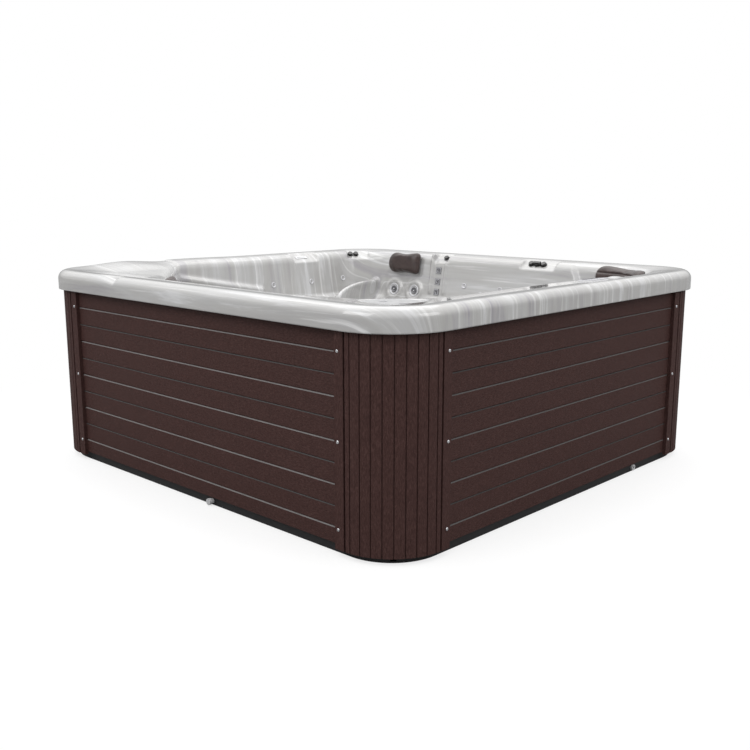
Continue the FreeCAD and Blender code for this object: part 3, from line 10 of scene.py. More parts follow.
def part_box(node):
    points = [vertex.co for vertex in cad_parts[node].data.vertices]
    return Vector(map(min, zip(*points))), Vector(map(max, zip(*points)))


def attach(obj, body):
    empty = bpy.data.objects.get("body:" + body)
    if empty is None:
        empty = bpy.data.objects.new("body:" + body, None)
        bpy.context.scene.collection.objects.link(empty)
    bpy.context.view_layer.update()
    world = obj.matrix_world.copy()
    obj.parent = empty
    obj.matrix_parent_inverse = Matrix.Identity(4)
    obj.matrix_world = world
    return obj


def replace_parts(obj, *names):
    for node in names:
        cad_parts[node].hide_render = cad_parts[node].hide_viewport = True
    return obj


# Looks of a square hot tub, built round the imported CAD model. Metres, +Z up, -Y is the front.

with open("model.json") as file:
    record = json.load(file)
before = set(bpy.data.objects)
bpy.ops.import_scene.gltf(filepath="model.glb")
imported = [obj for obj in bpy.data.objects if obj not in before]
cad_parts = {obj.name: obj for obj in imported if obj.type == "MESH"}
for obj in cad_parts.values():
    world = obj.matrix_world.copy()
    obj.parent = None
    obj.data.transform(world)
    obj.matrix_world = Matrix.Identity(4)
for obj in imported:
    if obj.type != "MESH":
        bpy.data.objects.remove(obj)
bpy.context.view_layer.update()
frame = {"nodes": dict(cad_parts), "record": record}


# ---------------------------------------------------------------- sizes from the frame

RIM_LOW, RIM_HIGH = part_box("acrylic_shell")
TOP = RIM_HIGH.z
HALF_X, HALF_Y = RIM_HIGH.x, RIM_HIGH.y
RIM_FACE = 0.082
RIM_BOTTOM = TOP - RIM_FACE
RIM_RADIUS = 0.245
RIM_ROUND = 0.038
CREST = 0.060
DECK_FALL = 0.10
WELL_SIDE = HALF_X - 0.140
WELL_BACK = HALF_Y - 0.150
WELL_FRONT = 0.175 - HALF_Y
SHELF = HALF_X - 0.270
PLATFORM = TOP - 0.246
MERGE = PLATFORM + 0.010
SEAT = TOP - 0.446
STEP = SEAT + 0.040
FOOT_FLOOR = TOP - 0.756
LEAN = math.radians(9.5)
FOOT_LEAN = math.radians(5)
WELL_RIM = TOP + 0.004
POD_TILT = math.radians(35)
POD_DEPTH = 0.025
POD_BACK = 0.024
POD_RUN = 0.076
SKIN = 0.010
CELL = 0.0075


# ---------------------------------------------------------------- places on the walls

def wall_matrix(x, y, z, inward, lean=LEAN):
    """Place on a leaning wall: own Z points out of the wall, own X down it; inward in degrees."""
    heading = Matrix.Rotation(math.radians(inward), 4, "Z")
    tilt = Matrix.Rotation(math.pi / 2 - lean, 4, "Y")
    return Matrix.Translation((x, y, z)) @ heading @ tilt


def on_well(x, y, z, inward):
    """A place on the well wall below the rim point x, y."""
    inset = (WELL_RIM - z) * math.tan(LEAN)
    turn = math.radians(inward)
    return wall_matrix(x + inset * math.cos(turn), y + inset * math.sin(turn), z, inward)


def back_wall(x, z):
    return on_well(x, WELL_BACK, z, -90)


def left_wall(y, z):
    return on_well(-WELL_SIDE, y, z, 0)


def right_wall(y, z):
    return on_well(WELL_SIDE, y, z, 180)


def shelf_wall(y, z):
    return on_well(SHELF, y, z, 180)


def front_wall(x, z):
    return on_well(x, WELL_FRONT, z, 90)


BACK_RIGHT_RADIUS = 0.275
BACK_LEFT_RADIUS = 0.230


def back_arc(side, angle, z):
    """A place on the rounded wall of a back corner, right (1) or left (-1)."""
    radius = BACK_RIGHT_RADIUS if side > 0 else BACK_LEFT_RADIUS
    turn = math.radians(angle)
    x = side * (WELL_SIDE - radius) + radius * math.cos(turn)
    y = WELL_BACK - radius + radius * math.sin(turn)
    return on_well(x, y, z, angle + 180)


def slanting_wall(run, z):
    """A place on the slanting wall of the lounger's head end, run metres from its front end."""
    first, last = Vector((-0.440, WELL_FRONT)), Vector((-WELL_SIDE, -0.402))
    along = (last - first).normalized()
    at = first + along * run
    return on_well(at.x, at.y, z, math.degrees(math.atan2(-along.x, along.y)))


def pod_matrix(x, y, inward):
    """Place of a control pocket: own Z leans into the well, own X runs along the rim."""
    heading = Matrix.Rotation(math.radians(inward + 90), 4, "Z")
    tilt = Matrix.Rotation(POD_TILT, 4, "X")
    return Matrix.Translation((x, y, TOP - POD_DEPTH)) @ heading @ tilt


AIR_ANGLE = 142
AIR_OUT = BACK_LEFT_RADIUS + POD_BACK
AIR_AT = (-WELL_SIDE + BACK_LEFT_RADIUS + AIR_OUT * math.cos(math.radians(AIR_ANGLE)),
          WELL_BACK - BACK_LEFT_RADIUS + AIR_OUT * math.sin(math.radians(AIR_ANGLE)))
PODS = {
    "air": (pod_matrix(*AIR_AT, AIR_ANGLE - 180), 0.124),
    "waterfall": (pod_matrix(-WELL_SIDE - POD_BACK, 0.452, 0), 0.176),
    "neck": (pod_matrix(-0.354, WELL_BACK + POD_BACK, -90), 0.092),
    "diverter": (pod_matrix(0.272, WELL_BACK + POD_BACK, -90), 0.198),
}
JET_HEIGHT = 0.637
ROTARY = {"left": back_wall(-0.674, JET_HEIGHT), "right": back_wall(-0.524, JET_HEIGHT)}
SMALL_JETS = [left_wall(0.191, 0.690), left_wall(0.467, 0.690), back_arc(-1, 170, 0.693),
              back_wall(-0.175, 0.688), back_wall(0.060, 0.683), back_wall(-0.060, 0.650),
              back_arc(1, 72, 0.650), back_arc(1, 48, 0.650), right_wall(0.440, 0.650),
              shelf_wall(-0.220, 0.683), shelf_wall(-0.090, 0.683), front_wall(-0.080, 0.683),
              front_wall(0.080, 0.683)]
NECK_JETS = [back_wall(-0.361, height) for height in (0.758, 0.697, 0.642)]


# ---------------------------------------------------------------- signed distances

def smooth_min(first, second, soft):
    """The smaller of two distances, rounded where they are within soft of each other."""
    near = np.maximum(soft - np.abs(first - second), 0) / soft
    return np.minimum(first, second) - near * near * (soft / 4)


def smooth_max(first, second, soft):
    return -smooth_min(-first, -second, soft)


def smooth_step(value, low, high):
    share = np.clip((value - low) / (high - low), 0, 1)
    return share * share * (3 - 2 * share)


class Outline:
    """A closed counter-clockwise plan outline of straight sides and tangent arcs."""

    def __init__(self, corners, radii):
        points = [Vector(corner) for corner in corners]
        self.corners = []
        for index, here in enumerate(points):
            back = (points[index - 1] - here).normalized()
            ahead = (points[(index + 1) % len(points)] - here).normalized()
            half = back.angle(ahead) / 2
            reach = radii[index] / math.tan(half)
            middle = (back + ahead).normalized()
            centre = here + middle * (radii[index] / math.sin(half))
            bulge = 1 if back.cross(ahead) < 0 else -1
            self.corners.append((centre, radii[index], middle, half, bulge,
                                 here + back * reach, here + ahead * reach))

    def distance(self, x, y):
        """Distance in plan, negative inside."""
        best = np.full(np.broadcast(x, y).shape, 9.0)
        slack = 1e-6
        for index, (centre, radius, middle, half, bulge, _, leave) in enumerate(self.corners):
            across, along = x - centre.x, y - centre.y
            reach = np.hypot(across, along)
            value = bulge * (reach - radius)
            faces = -(across * middle.x + along * middle.y) >= reach * math.sin(half) - slack
            best = np.where(faces & (np.abs(value) < np.abs(best)), value, best)
            enter = self.corners[(index + 1) % len(self.corners)][5]
            length = (enter - leave).length
            way = (enter - leave) / length
            run = (x - leave.x) * way.x + (y - leave.y) * way.y
            value = (x - leave.x) * way.y - (y - leave.y) * way.x
            beside = (run > -slack) & (run < length + slack)
            best = np.where(beside & (np.abs(value) < np.abs(best)), value, best)
        return best


def leaning(outline, x, y, z, top, lean):
    """Distance to leaning walls whose outline is given at the height top."""
    return (outline.distance(x, y) + (top - z) * math.tan(lean)) * math.cos(lean)


def local_axes(place, x, y, z):
    """Coordinates in the axes of a place."""
    back = place.inverted()
    rows = [back[row] for row in range(3)]
    return [row[0] * x + row[1] * y + row[2] * z + row[3] for row in rows]


def rounded_box(place, low, high, radius, x, y, z):
    """Distance to a box with rounded edges, its corners given in the axes of a place."""
    outside, deepest = 0.0, -9.0
    for value, start, end in zip(local_axes(place, x, y, z), low, high):
        over = np.abs(value - (start + end) / 2) - ((end - start) / 2 - radius)
        outside = outside + np.maximum(over, 0) ** 2
        deepest = np.maximum(deepest, over)
    return np.sqrt(outside) + np.minimum(deepest, 0) - radius


RIM = Outline([(-HALF_X, -HALF_Y), (HALF_X, -HALF_Y), (HALF_X, HALF_Y), (-HALF_X, HALF_Y)],
              [RIM_RADIUS] * 4)
WELL = Outline([(-0.440, WELL_FRONT), (0.420, WELL_FRONT), (SHELF, -0.531), (SHELF, 0.240),
                (WELL_SIDE, 0.352), (WELL_SIDE, WELL_BACK), (-WELL_SIDE, WELL_BACK),
                (-WELL_SIDE, -0.402)],
               [0.09, 0.09, 0.09, 0.06, 0.06, BACK_RIGHT_RADIUS, BACK_LEFT_RADIUS, 0.09])
SIDE = WELL_SIDE - 0.045
BACK = WELL_BACK - 0.045
INNER_SHELF = SHELF - 0.045
SEATS = [
    (Outline([(-0.735, 0.290), (-0.400, 0.290), (-0.400, BACK), (-0.800, BACK), (-0.735, 0.560)],
             [0.06, 0.06, 0.09, 0.09, 0.20]), SEAT),
    (Outline([(-0.310, 0.290), (0.250, 0.290), (0.250, BACK), (-0.310, BACK)],
             [0.06, 0.06, 0.09, 0.09]), SEAT),
    (Outline([(0.340, 0.250), (0.430, 0.170), (INNER_SHELF - 0.020, 0.260), (SIDE, 0.390),
              (SIDE, BACK), (0.340, BACK)], [0.05, 0.05, 0.05, 0.05, 0.24, 0.09]), SEAT),
    (Outline([(0.470, -0.370), (INNER_SHELF, -0.370), (INNER_SHELF, 0.060), (0.470, 0.060)],
             [0.06, 0.08, 0.08, 0.06]), SEAT),
    (Outline([(-0.330, WELL_FRONT + 0.050), (0.330, WELL_FRONT + 0.050), (0.330, -0.370),
              (-0.330, -0.370)], [0.08, 0.08, 0.06, 0.06]), STEP),
]
FOOTWELL = Outline([(-0.440, -0.420), (0.520, -0.420), (0.520, 0.440), (-0.580, 0.440),
                    (-0.580, 0.260), (-0.440, 0.130)], [0.11, 0.11, 0.11, 0.09, 0.06, 0.06])
LOUNGER = Outline([(-0.915, -0.370), (-0.480, -0.770), (-0.480, 0.230), (-0.915, 0.230)],
                  [0.06, 0.06, 0.07, 0.07])
LOUNGER_SIDE = [(-0.88, 0.61), (-0.70, 0.55), (-0.33, 0.42), (-0.15, 0.42), (0.06, 0.49), (0.26, 0.41)]
FILLET = 0.045
BATHING_EDGE = 0.040


def hollow(outline, floor, lean, x, y, z):
    return smooth_max(leaning(outline, x, y, z, MERGE, lean), floor - z, 0.070)


def lounger_floor(y):
    """Height of the lounger's surface along the tub, a soft curve through its bends."""
    along = np.array([point[0] for point in LOUNGER_SIDE])
    height = np.array([point[1] for point in LOUNGER_SIDE])
    fine = np.linspace(-1.2, 1.0, 441)
    line = np.interp(fine, along, height)
    window = np.hanning(33)
    soft = np.convolve(np.pad(line, 16, mode="edge"), window / window.sum(), "valid")
    return np.interp(y, fine, soft)


def cavity(x, y, z):
    """The space for water: well, seats, lounger and footwell in one."""
    floor = PLATFORM - z
    for outline, level in SEATS:
        floor = smooth_min(floor, hollow(outline, level, LEAN, x, y, z), FILLET)
    recline = smooth_max(leaning(LOUNGER, x, y, z, MERGE, LEAN), (lounger_floor(y) - z) * 0.94, 0.070)
    floor = smooth_min(floor, recline, FILLET)
    floor = smooth_min(floor, hollow(FOOTWELL, FOOT_FLOOR, FOOT_LEAN, x, y, z), FILLET)
    niche_edge = 0.462 + 0.5 * (TOP - 0.016 - z)
    niche = 0.016 * smooth_step(x, niche_edge, niche_edge + 0.022) * smooth_step(z, 0.665, 0.690)
    niche = niche * smooth_step(y, 0.42, 0.50)
    return smooth_max(leaning(WELL, x, y, z, WELL_RIM, LEAN) - niche, floor, 0.030)


def deck_height(x, y, edge):
    """The rim's top: a level crest, then a fall to the well; the front left corner swells up."""
    fall = smooth_max(DECK_FALL * (-edge - CREST), 0.0, 0.004)
    swell = 0.011 * np.sin(np.pi * np.clip((y + 0.86) / 0.43, 0, 1)) ** 2
    ledge = 0.005 * smooth_step(y, -0.405, -0.385) * smooth_step(-y, -0.1, 0.3)
    return TOP - fall + (swell + ledge) * smooth_step(-x, 0.84, 0.96)


def rim_block(x, y, z):
    """The rim's outer form with its rounded edge, solid to the ground."""
    edge = RIM.distance(x, y)
    over_side = edge + RIM_ROUND
    over_top = z - deck_height(x, y, edge) + RIM_ROUND
    outside = np.hypot(np.maximum(over_side, 0), np.maximum(over_top, 0))
    return outside + np.minimum(np.maximum(over_side, over_top), 0) - RIM_ROUND


FILTER_LOW, FILTER_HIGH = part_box("filter_lid")
FILTER_AT = (FILTER_LOW + FILTER_HIGH) / 2
LID_RADIUS = (FILTER_HIGH.x - FILTER_LOW.x) / 2
LID_RING = FILTER_LOW.z + 0.008
PANEL_LOW, PANEL_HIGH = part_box("control_bezel")
PANEL_AT = (PANEL_LOW + PANEL_HIGH) / 2
PANEL = (Matrix.Translation((PANEL_AT.x, PANEL_AT.y, TOP - DECK_FALL * (HALF_X - PANEL_AT.x - CREST)))
         @ Matrix.Rotation(math.pi / 2, 4, "Z") @ Matrix.Rotation(-math.atan(DECK_FALL), 4, "X"))
MOUTH = on_well(0.690, WELL_FRONT + (0.690 - 0.420) * (-0.531 - WELL_FRONT) / (SHELF - 0.420), 0.730,
                math.degrees(math.atan2(SHELF - 0.420, WELL_FRONT + 0.531)))
SCOOP = Matrix.Translation((-0.607, -HALF_Y, TOP)) @ Matrix.Rotation(math.atan2(24, 144), 4, "Y")


ARM_START = 0.480
ARM_RISE_LENGTH = 0.270
ARM_RISE = 0.070
ARM_HALF = 0.015


def armrest_ridge(x, y, z):
    """A fin that arches up from the armrest like a quarter ellipse and runs on to the back wall."""
    share = np.clip((y - ARM_START) / 0.385, 0, 1)
    middle = -0.730 - 0.080 * share
    ahead = np.maximum(ARM_START + ARM_RISE_LENGTH - y, 0) / ARM_RISE_LENGTH
    above = np.maximum(z - PLATFORM, 0) / ARM_RISE
    size = np.sqrt(ahead ** 2 + above ** 2) + 1e-6
    slope = np.sqrt((ahead / ARM_RISE_LENGTH) ** 2 + (above / ARM_RISE) ** 2) / size + 1e-6
    past = np.maximum((size - 1) / slope, 0)
    return np.maximum(np.hypot(x - middle, past) - ARM_HALF, y - 0.90)


LEDGE_FOOT = Vector((-0.928, 0.100, 0.668))
LEDGE_HEAD = Vector((-0.940, -0.420, 0.765))


def lounger_ledge(x, y, z):
    """A half-round ledge on the left wall that climbs towards the lounger's head end."""
    way = LEDGE_HEAD - LEDGE_FOOT
    across, along, up = x - LEDGE_FOOT.x, y - LEDGE_FOOT.y, z - LEDGE_FOOT.z
    share = np.clip((across * way.x + along * way.y + up * way.z) / way.length_squared, 0, 1)
    return np.sqrt((across - share * way.x) ** 2 + (along - share * way.y) ** 2
                   + (up - share * way.z) ** 2) - 0.014


def ring_ridge(place, x, y, z):
    """The moulded lip round a rotary jet."""
    down, along, out = local_axes(place, x, y, z)
    return np.hypot(np.hypot(down, along) - 0.050, out + 0.001) - 0.0085


def wall_ridge(x_at, low, high, width, rise, x, y, z):
    """An upright ridge on the back wall."""
    place = back_wall(x_at, (low + high) / 2)
    half = (high - low) / 2
    return rounded_box(place, (-half, -width / 2, -0.03), (half, width / 2, rise), rise, x, y, z)


def bump(centre, radii, x, y, z):
    """A low rounded swelling on the deck."""
    scaled = np.sqrt(((x - centre[0]) / radii[0]) ** 2 + ((y - centre[1]) / radii[1]) ** 2
                     + ((z - centre[2]) / radii[2]) ** 2)
    return (scaled - 1) * min(radii)


PILLOW_BEDS = [(back_wall(-0.604, 0.785), 0.070, 0.125)]


def shell_distance(x, y, z):
    """Distance to the formed sheet's bather side, negative inside the material."""
    solid = smooth_max(rim_block(x, y, z), -cavity(x, y, z), BATHING_EDGE)
    solid = smooth_min(solid, armrest_ridge(x, y, z), 0.014)
    solid = smooth_min(solid, lounger_ledge(x, y, z), 0.020)
    for place in ROTARY.values():
        solid = smooth_min(solid, ring_ridge(place, x, y, z), 0.014)
    solid = smooth_min(solid, wall_ridge(-0.407, 0.63, 0.85, 0.022, 0.012, x, y, z), 0.012)
    solid = smooth_min(solid, wall_ridge(-0.312, 0.63, 0.85, 0.018, 0.008, x, y, z), 0.010)
    solid = smooth_min(solid, bump((1.000, 0.372, TOP - 0.010), (0.026, 0.045, 0.014), x, y, z), 0.010)
    panel_seat = rounded_box(PANEL, (-0.078, -0.038, -0.04), (0.078, 0.038, 0.0005), 0.004, x, y, z)
    solid = smooth_min(solid, panel_seat, 0.010)
    from_axis = np.hypot(x - FILTER_AT.x, y - FILTER_AT.y)
    ring = smooth_max(from_axis - LID_RADIUS - 0.013, z - LID_RING, 0.010)
    solid = smooth_min(solid, np.maximum(ring, LID_RING - 0.05 - z), 0.014)
    for place, width in PODS.values():
        half = width / 2
        pocket = rounded_box(place, (-half, -POD_RUN / 2, 0), (half, POD_RUN / 2, 0.08), 0.010, x, y, z)
        solid = smooth_max(solid, -pocket, 0.012)
    scoop = rounded_box(SCOOP, (-0.04, -0.06, 0), (0.144, 0.046, 0.08), 0.008, x, y, z)
    solid = smooth_max(solid, -scoop, 0.010)
    for place, half_up, half_along in PILLOW_BEDS:
        low, high = (-half_up, -half_along, -0.004), (half_up, half_along, 0.05)
        bed = rounded_box(place, low, high, 0.0035, x, y, z)
        solid = smooth_max(solid, -bed, 0.004)
    seat = np.maximum(from_axis - LID_RADIUS - 0.0015, FILTER_LOW.z - 0.0005 - z)
    solid = smooth_max(solid, -seat, 0.008)
    solid = smooth_max(solid, LID_RADIUS - 0.014 - from_axis, 0.004)
    throat = rounded_box(MOUTH, (-0.047, -0.077, -0.16), (0.047, 0.077, 0.05), 0.012, x, y, z)
    return smooth_max(solid, -throat, 0.014)


# ---------------------------------------------------------------- surface from distances

def crossed_cells(values):
    """Grid cells that the surface passes through, and the number of each."""
    inside = values < 0
    count = np.zeros(tuple(side - 1 for side in values.shape), np.int8)
    for corner in np.ndindex(2, 2, 2):
        span = tuple(slice(step, step + side - 1) for step, side in zip(corner, values.shape))
        count += inside[span]
    mixed = (count > 0) & (count < 8)
    number = np.full(mixed.shape, -1, np.int64)
    number[mixed] = np.arange(mixed.sum())
    return inside, mixed, number


def cell_points(values, mixed):
    """The middle of the crossings on each cell's edges, in grid steps."""
    base = np.argwhere(mixed)
    total = np.zeros(base.shape)
    hits = np.zeros(len(base))
    for corner in np.ndindex(2, 2, 2):
        for axis in range(3):
            if corner[axis]:
                continue
            start = base + corner
            end = start.copy()
            end[:, axis] += 1
            first, second = values[tuple(start.T)], values[tuple(end.T)]
            crosses = (first < 0) != (second < 0)
            share = np.where(crosses, first / np.where(crosses, first - second, 1), 0)
            point = start.astype(float)
            point[:, axis] += share
            total += point * crosses[:, None]
            hits += crosses
    return total / hits[:, None]


def cell_quads(inside, number):
    """One quad round every grid edge that crosses the surface."""
    quads = []
    for axis in range(3):
        one, two = [other for other in range(3) if other != axis]
        ahead = np.roll(inside, -1, axis)
        edges = np.argwhere(inside != ahead)
        last = np.array(inside.shape) - 1
        keep = (edges[:, axis] < last[axis]) & (edges[:, one] > 0) & (edges[:, two] > 0)
        keep &= (edges[:, one] < last[one]) & (edges[:, two] < last[two])
        edges = edges[keep]
        ring = []
        for back_one, back_two in ((1, 1), (0, 1), (0, 0), (1, 0)):
            cell = edges.copy()
            cell[:, one] -= back_one
            cell[:, two] -= back_two
            ring.append(number[tuple(cell.T)])
        faces = np.stack(ring, 1)
        outward = inside[tuple(edges.T)]
        if axis == 1:
            outward = ~outward
        faces[~outward] = faces[~outward][:, ::-1]
        quads.append(faces)
    return np.concatenate(quads)


def pulled(points, limit):
    """Points moved onto the exact surface along its slope."""
    for _ in range(3):
        value = shell_distance(*points.T)
        slope = np.empty_like(points)
        for axis in range(3):
            shift = np.zeros(3)
            shift[axis] = 2e-4
            slope[:, axis] = (shell_distance(*(points + shift).T) - value) / 2e-4
        step = value[:, None] * slope / np.maximum((slope ** 2).sum(1), 0.05)[:, None]
        size = np.linalg.norm(step, axis=1, keepdims=True)
        points = points - step * np.minimum(1, limit / np.maximum(size, 1e-9))
    return points


def neighbour_mean(points, quads):
    """The mean of each point's neighbours along the quads' sides."""
    total = np.zeros_like(points)
    count = np.zeros(len(points))
    for side in range(4):
        here, there = quads[:, side], quads[:, (side + 1) % 4]
        for first, second in ((here, there), (there, here)):
            for axis in range(points.shape[1]):
                total[:, axis] += np.bincount(first, points[second, axis], len(points))
            count += np.bincount(first, minlength=len(points))
    return total / np.maximum(count, 1)[:, None]


def shell_surface():
    """Vertices and quads of the sheet's bather side, trimmed at the rim's lower edge."""
    low = np.array([-HALF_X, -HALF_Y, FOOT_FLOOR]) - 3 * CELL
    high = np.array([HALF_X, HALF_Y, TOP]) + 4 * CELL
    grid = [np.arange(start, end, CELL) for start, end in zip(low, high)]
    values = shell_distance(grid[0][:, None, None], grid[1][None, :, None], grid[2][None, None, :])
    values = values.astype(np.float32)
    inside, mixed, number = crossed_cells(values)
    points = pulled(low + cell_points(values, mixed) * CELL, CELL)
    quads = cell_quads(inside, number)
    for _ in range(2):
        points = pulled(points + 0.5 * (neighbour_mean(points, quads) - points), CELL / 2)
    centre = points[quads].mean(1)
    outer = RIM.distance(centre[:, 0], centre[:, 1]) > -0.03
    filter_bore = np.hypot(centre[:, 0] - FILTER_AT.x, centre[:, 1] - FILTER_AT.y) < LID_RADIUS
    quads = quads[~((outer | filter_bore) & (centre[:, 2] < RIM_BOTTOM))]
    used = np.unique(quads)
    renumber = np.full(len(points), -1)
    renumber[used] = np.arange(len(used))
    points, quads = points[used], renumber[quads]
    outer = RIM.distance(points[:, 0], points[:, 1]) > -0.03
    trim = outer & (points[:, 2] < RIM_BOTTOM + CELL / 2)
    points[trim, 2] = RIM_BOTTOM
    return points, quads


# ---------------------------------------------------------------- mesh helpers

def new_piece(name, body, material, points, faces, smooth=True):
    """A mesh piece that rides on a body."""
    mesh = bpy.data.meshes.new(name)
    mesh.from_pydata([tuple(point) for point in points], [], [tuple(face) for face in faces])
    return dressed(name, mesh, body, material, smooth)


def dressed(name, mesh, body, material, smooth=True):
    mesh.update()
    mesh.polygons.foreach_set("use_smooth", [smooth] * len(mesh.polygons))
    piece = bpy.data.objects.new(name, mesh)
    bpy.context.scene.collection.objects.link(piece)
    mesh.materials.append(material)
    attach(piece, body)
    return piece


def applied(piece):
    """Applies a piece's modifiers to its mesh."""
    bpy.context.view_layer.update()
    graph = bpy.context.evaluated_depsgraph_get()
    mesh = bpy.data.meshes.new_from_object(piece.evaluated_get(graph))
    piece.modifiers.clear()
    piece.data = mesh
    return piece


# ---------------------------------------------------------------- materials

class Finish:
    """A node material on the principled shader."""

    def __init__(self, name, color, roughness, metallic=0.0, coat=0.0):
        self.material = bpy.data.materials.new(name)
        self.material.use_nodes = True
        self.nodes = self.material.node_tree.nodes
        self.links = self.material.node_tree.links
        self.shader = self.nodes["Principled BSDF"]
        self.shader.inputs["Base Color"].default_value = (*color, 1)
        self.shader.inputs["Roughness"].default_value = roughness
        self.shader.inputs["Metallic"].default_value = metallic
        self.shader.inputs["Coat Weight"].default_value = coat
        self.material.diffuse_color = (*color, 1)

    def node(self, kind, settings=(), **inputs):
        item = self.nodes.new(kind)
        for name, value in dict(settings).items():
            setattr(item, name, value)
        for name, value in inputs.items():
            self.feed(item.inputs[name.replace("_", " ")], value)
        return item

    def feed(self, socket, value):
        if isinstance(value, bpy.types.NodeSocket):
            self.links.new(value, socket)
        else:
            socket.default_value = value

    def math(self, operation, first, second=0.0, third=0.0):
        item = self.nodes.new("ShaderNodeMath")
        item.operation = operation
        for socket, value in zip(item.inputs, (first, second, third)):
            self.feed(socket, value)
        return item.outputs[0]

    def place(self, scale=(1, 1, 1)):
        """Object coordinates, stretched."""
        source = self.node("ShaderNodeTexCoord").outputs["Object"]
        return self.node("ShaderNodeMapping", Vector=source, Scale=scale).outputs[0]

    def noise(self, vector, scale, detail=4.0, roughness=0.55, distortion=0.0):
        item = self.node("ShaderNodeTexNoise", Vector=vector, Scale=scale, Detail=detail,
                         Roughness=roughness, Distortion=distortion)
        return item.outputs["Fac"]

    def ramp(self, value, stops):
        item = self.nodes.new("ShaderNodeValToRGB")
        self.feed(item.inputs[0], value)
        points = item.color_ramp.elements
        while len(points) < len(stops):
            points.new(0.5)
        for point, (position, color) in zip(points, stops):
            point.position = position
            point.color = (*color, 1)
        return item.outputs[0]

    def mix(self, share, first, second):
        item = self.node("ShaderNodeMix", {"data_type": "RGBA"})
        self.feed(item.inputs[0], share)
        self.feed(item.inputs[6], first)
        self.feed(item.inputs[7], second)
        return item.outputs[2]

    def bump(self, height, strength, distance=0.001):
        item = self.node("ShaderNodeBump", Height=height, Strength=strength, Distance=distance)
        self.feed(self.shader.inputs["Normal"], item.outputs[0])

    def color(self, value):
        self.feed(self.shader.inputs["Base Color"], value)

    def rough(self, value, low, high):
        item = self.node("ShaderNodeMapRange", Value=value, To_Min=low, To_Max=high)
        self.feed(self.shader.inputs["Roughness"], item.outputs[0])


def grey(level):
    return (level, level, level)


def acrylic_finish(name="marbled_acrylic"):
    """High-gloss marbled sheet: streaks run along X and follow the sheet down its walls."""
    finish = Finish(name, (0.55, 0.55, 0.55), 0.16, coat=1.0)
    finish.shader.inputs["Coat Roughness"].default_value = 0.04
    across = finish.node("ShaderNodeAttribute", {"attribute_name": "across"}).outputs["Fac"]
    along = finish.node("ShaderNodeAttribute", {"attribute_name": "along"}).outputs["Fac"]

    def streaks(stretch, width, seed, detail, distortion):
        vector = finish.node("ShaderNodeCombineXYZ", X=finish.math("MULTIPLY", along, stretch),
                             Y=finish.math("MULTIPLY", across, width), Z=seed).outputs[0]
        return finish.noise(vector, 1.0, detail, 0.6, distortion)

    broad = finish.ramp(streaks(0.9, 6.0, 1.7, 3.0, 0.4), [
        (0.30, (0.335, 0.328, 0.335)), (0.45, (0.400, 0.394, 0.386)), (0.56, (0.470, 0.470, 0.474)),
        (0.70, (0.385, 0.380, 0.378))])
    fine = finish.ramp(streaks(1.1, 15.0, 4.3, 8.0, 0.5), [
        (0.33, (0.290, 0.278, 0.300)), (0.45, (0.400, 0.394, 0.382)), (0.56, (0.450, 0.446, 0.440)),
        (0.62, (0.640, 0.642, 0.650)), (0.72, (0.400, 0.395, 0.400))])
    threads = finish.ramp(streaks(1.6, 44.0, 6.9, 6.0, 0.3), [
        (0.56, (0.0, 0.0, 0.0)), (0.70, (0.55, 0.55, 0.55))])
    cloud = streaks(2.0, 3.0, 8.1, 4.0, 0.8)
    share = finish.node("ShaderNodeMapRange", Value=cloud, From_Min=0.35, From_Max=0.65, To_Min=0.20,
                        To_Max=0.80).outputs[0]
    marble = finish.mix(share, broad, fine)
    finish.color(finish.mix(threads, marble, (0.80, 0.80, 0.80, 1)))
    return finish.material


def cabinet_finish(name, grain, lip_highlights=()):
    """Brown moulded planks with a pressed grain; the last argument gives the tones of painted highlights on the
    lower lips of the wide and narrow grooves.
    """
    finish = Finish(name, (0.051, 0.0234, 0.0205), 0.62)
    finish.shader.inputs["Specular IOR Level"].default_value = 0.14
    place = finish.place()
    speckle = finish.noise(finish.place(grain), 1.0, 4.0, 0.6, 0.8)
    blotch = finish.noise(place, 14.0, 3.0, 0.5, 1.2)
    pores = finish.noise(place, 420.0, 2.0, 0.6)
    color = finish.ramp(finish.math("ADD", finish.math("MULTIPLY", speckle, 0.90),
                                    finish.math("MULTIPLY", blotch, 0.10)), [
        (0.32, (0.034, 0.0152, 0.0134)), (0.50, (0.052, 0.0244, 0.0216)), (0.68, (0.080, 0.0410, 0.0366))])
    # Painted highlight: a light band just below each groove stands for light caught on the groove's lower lip.
    if lip_highlights:
        height = finish.node("ShaderNodeSeparateXYZ", Vector=place).outputs[2]
        for first, highlight_tone in zip((0.6915, 0.617), lip_highlights):
            below = finish.math("SUBTRACT", first - 0.0014, height)
            run = finish.math("MODULO", below, 0.149)
            near = finish.math("LESS_THAN", run, 0.0034)
            lip = finish.math("MULTIPLY", near, finish.math("GREATER_THAN", run, 0.0))
            color = finish.mix(lip, color, (highlight_tone, highlight_tone * 0.95, highlight_tone * 0.94, 1))
    finish.color(color)
    finish.rough(blotch, 0.52, 0.70)
    relief = finish.math("ADD", speckle, finish.math("MULTIPLY", pores, 0.5))
    finish.bump(relief, 0.9, 0.0015)
    return finish.material


def leather_finish():
    """Skinned foam with a fine pressed grain and a soft sheen."""
    finish = Finish("pillow_leather", (0.040, 0.024, 0.021), 0.34, coat=0.30)
    finish.shader.inputs["Specular IOR Level"].default_value = 0.4
    finish.shader.inputs["Coat Roughness"].default_value = 0.22
    place = finish.place()
    cells = finish.node("ShaderNodeTexVoronoi", Vector=place, Scale=520.0).outputs["Distance"]
    folds = finish.noise(place, 38.0, 4.0, 0.6, 0.6)
    finish.color(finish.ramp(folds, [(0.3, (0.026, 0.0145, 0.0125)), (0.7, (0.050, 0.0300, 0.0265))]))
    finish.rough(folds, 0.26, 0.44)
    finish.bump(finish.math("ADD", cells, finish.math("MULTIPLY", folds, 0.8)), 0.25, 0.0006)
    return finish.material


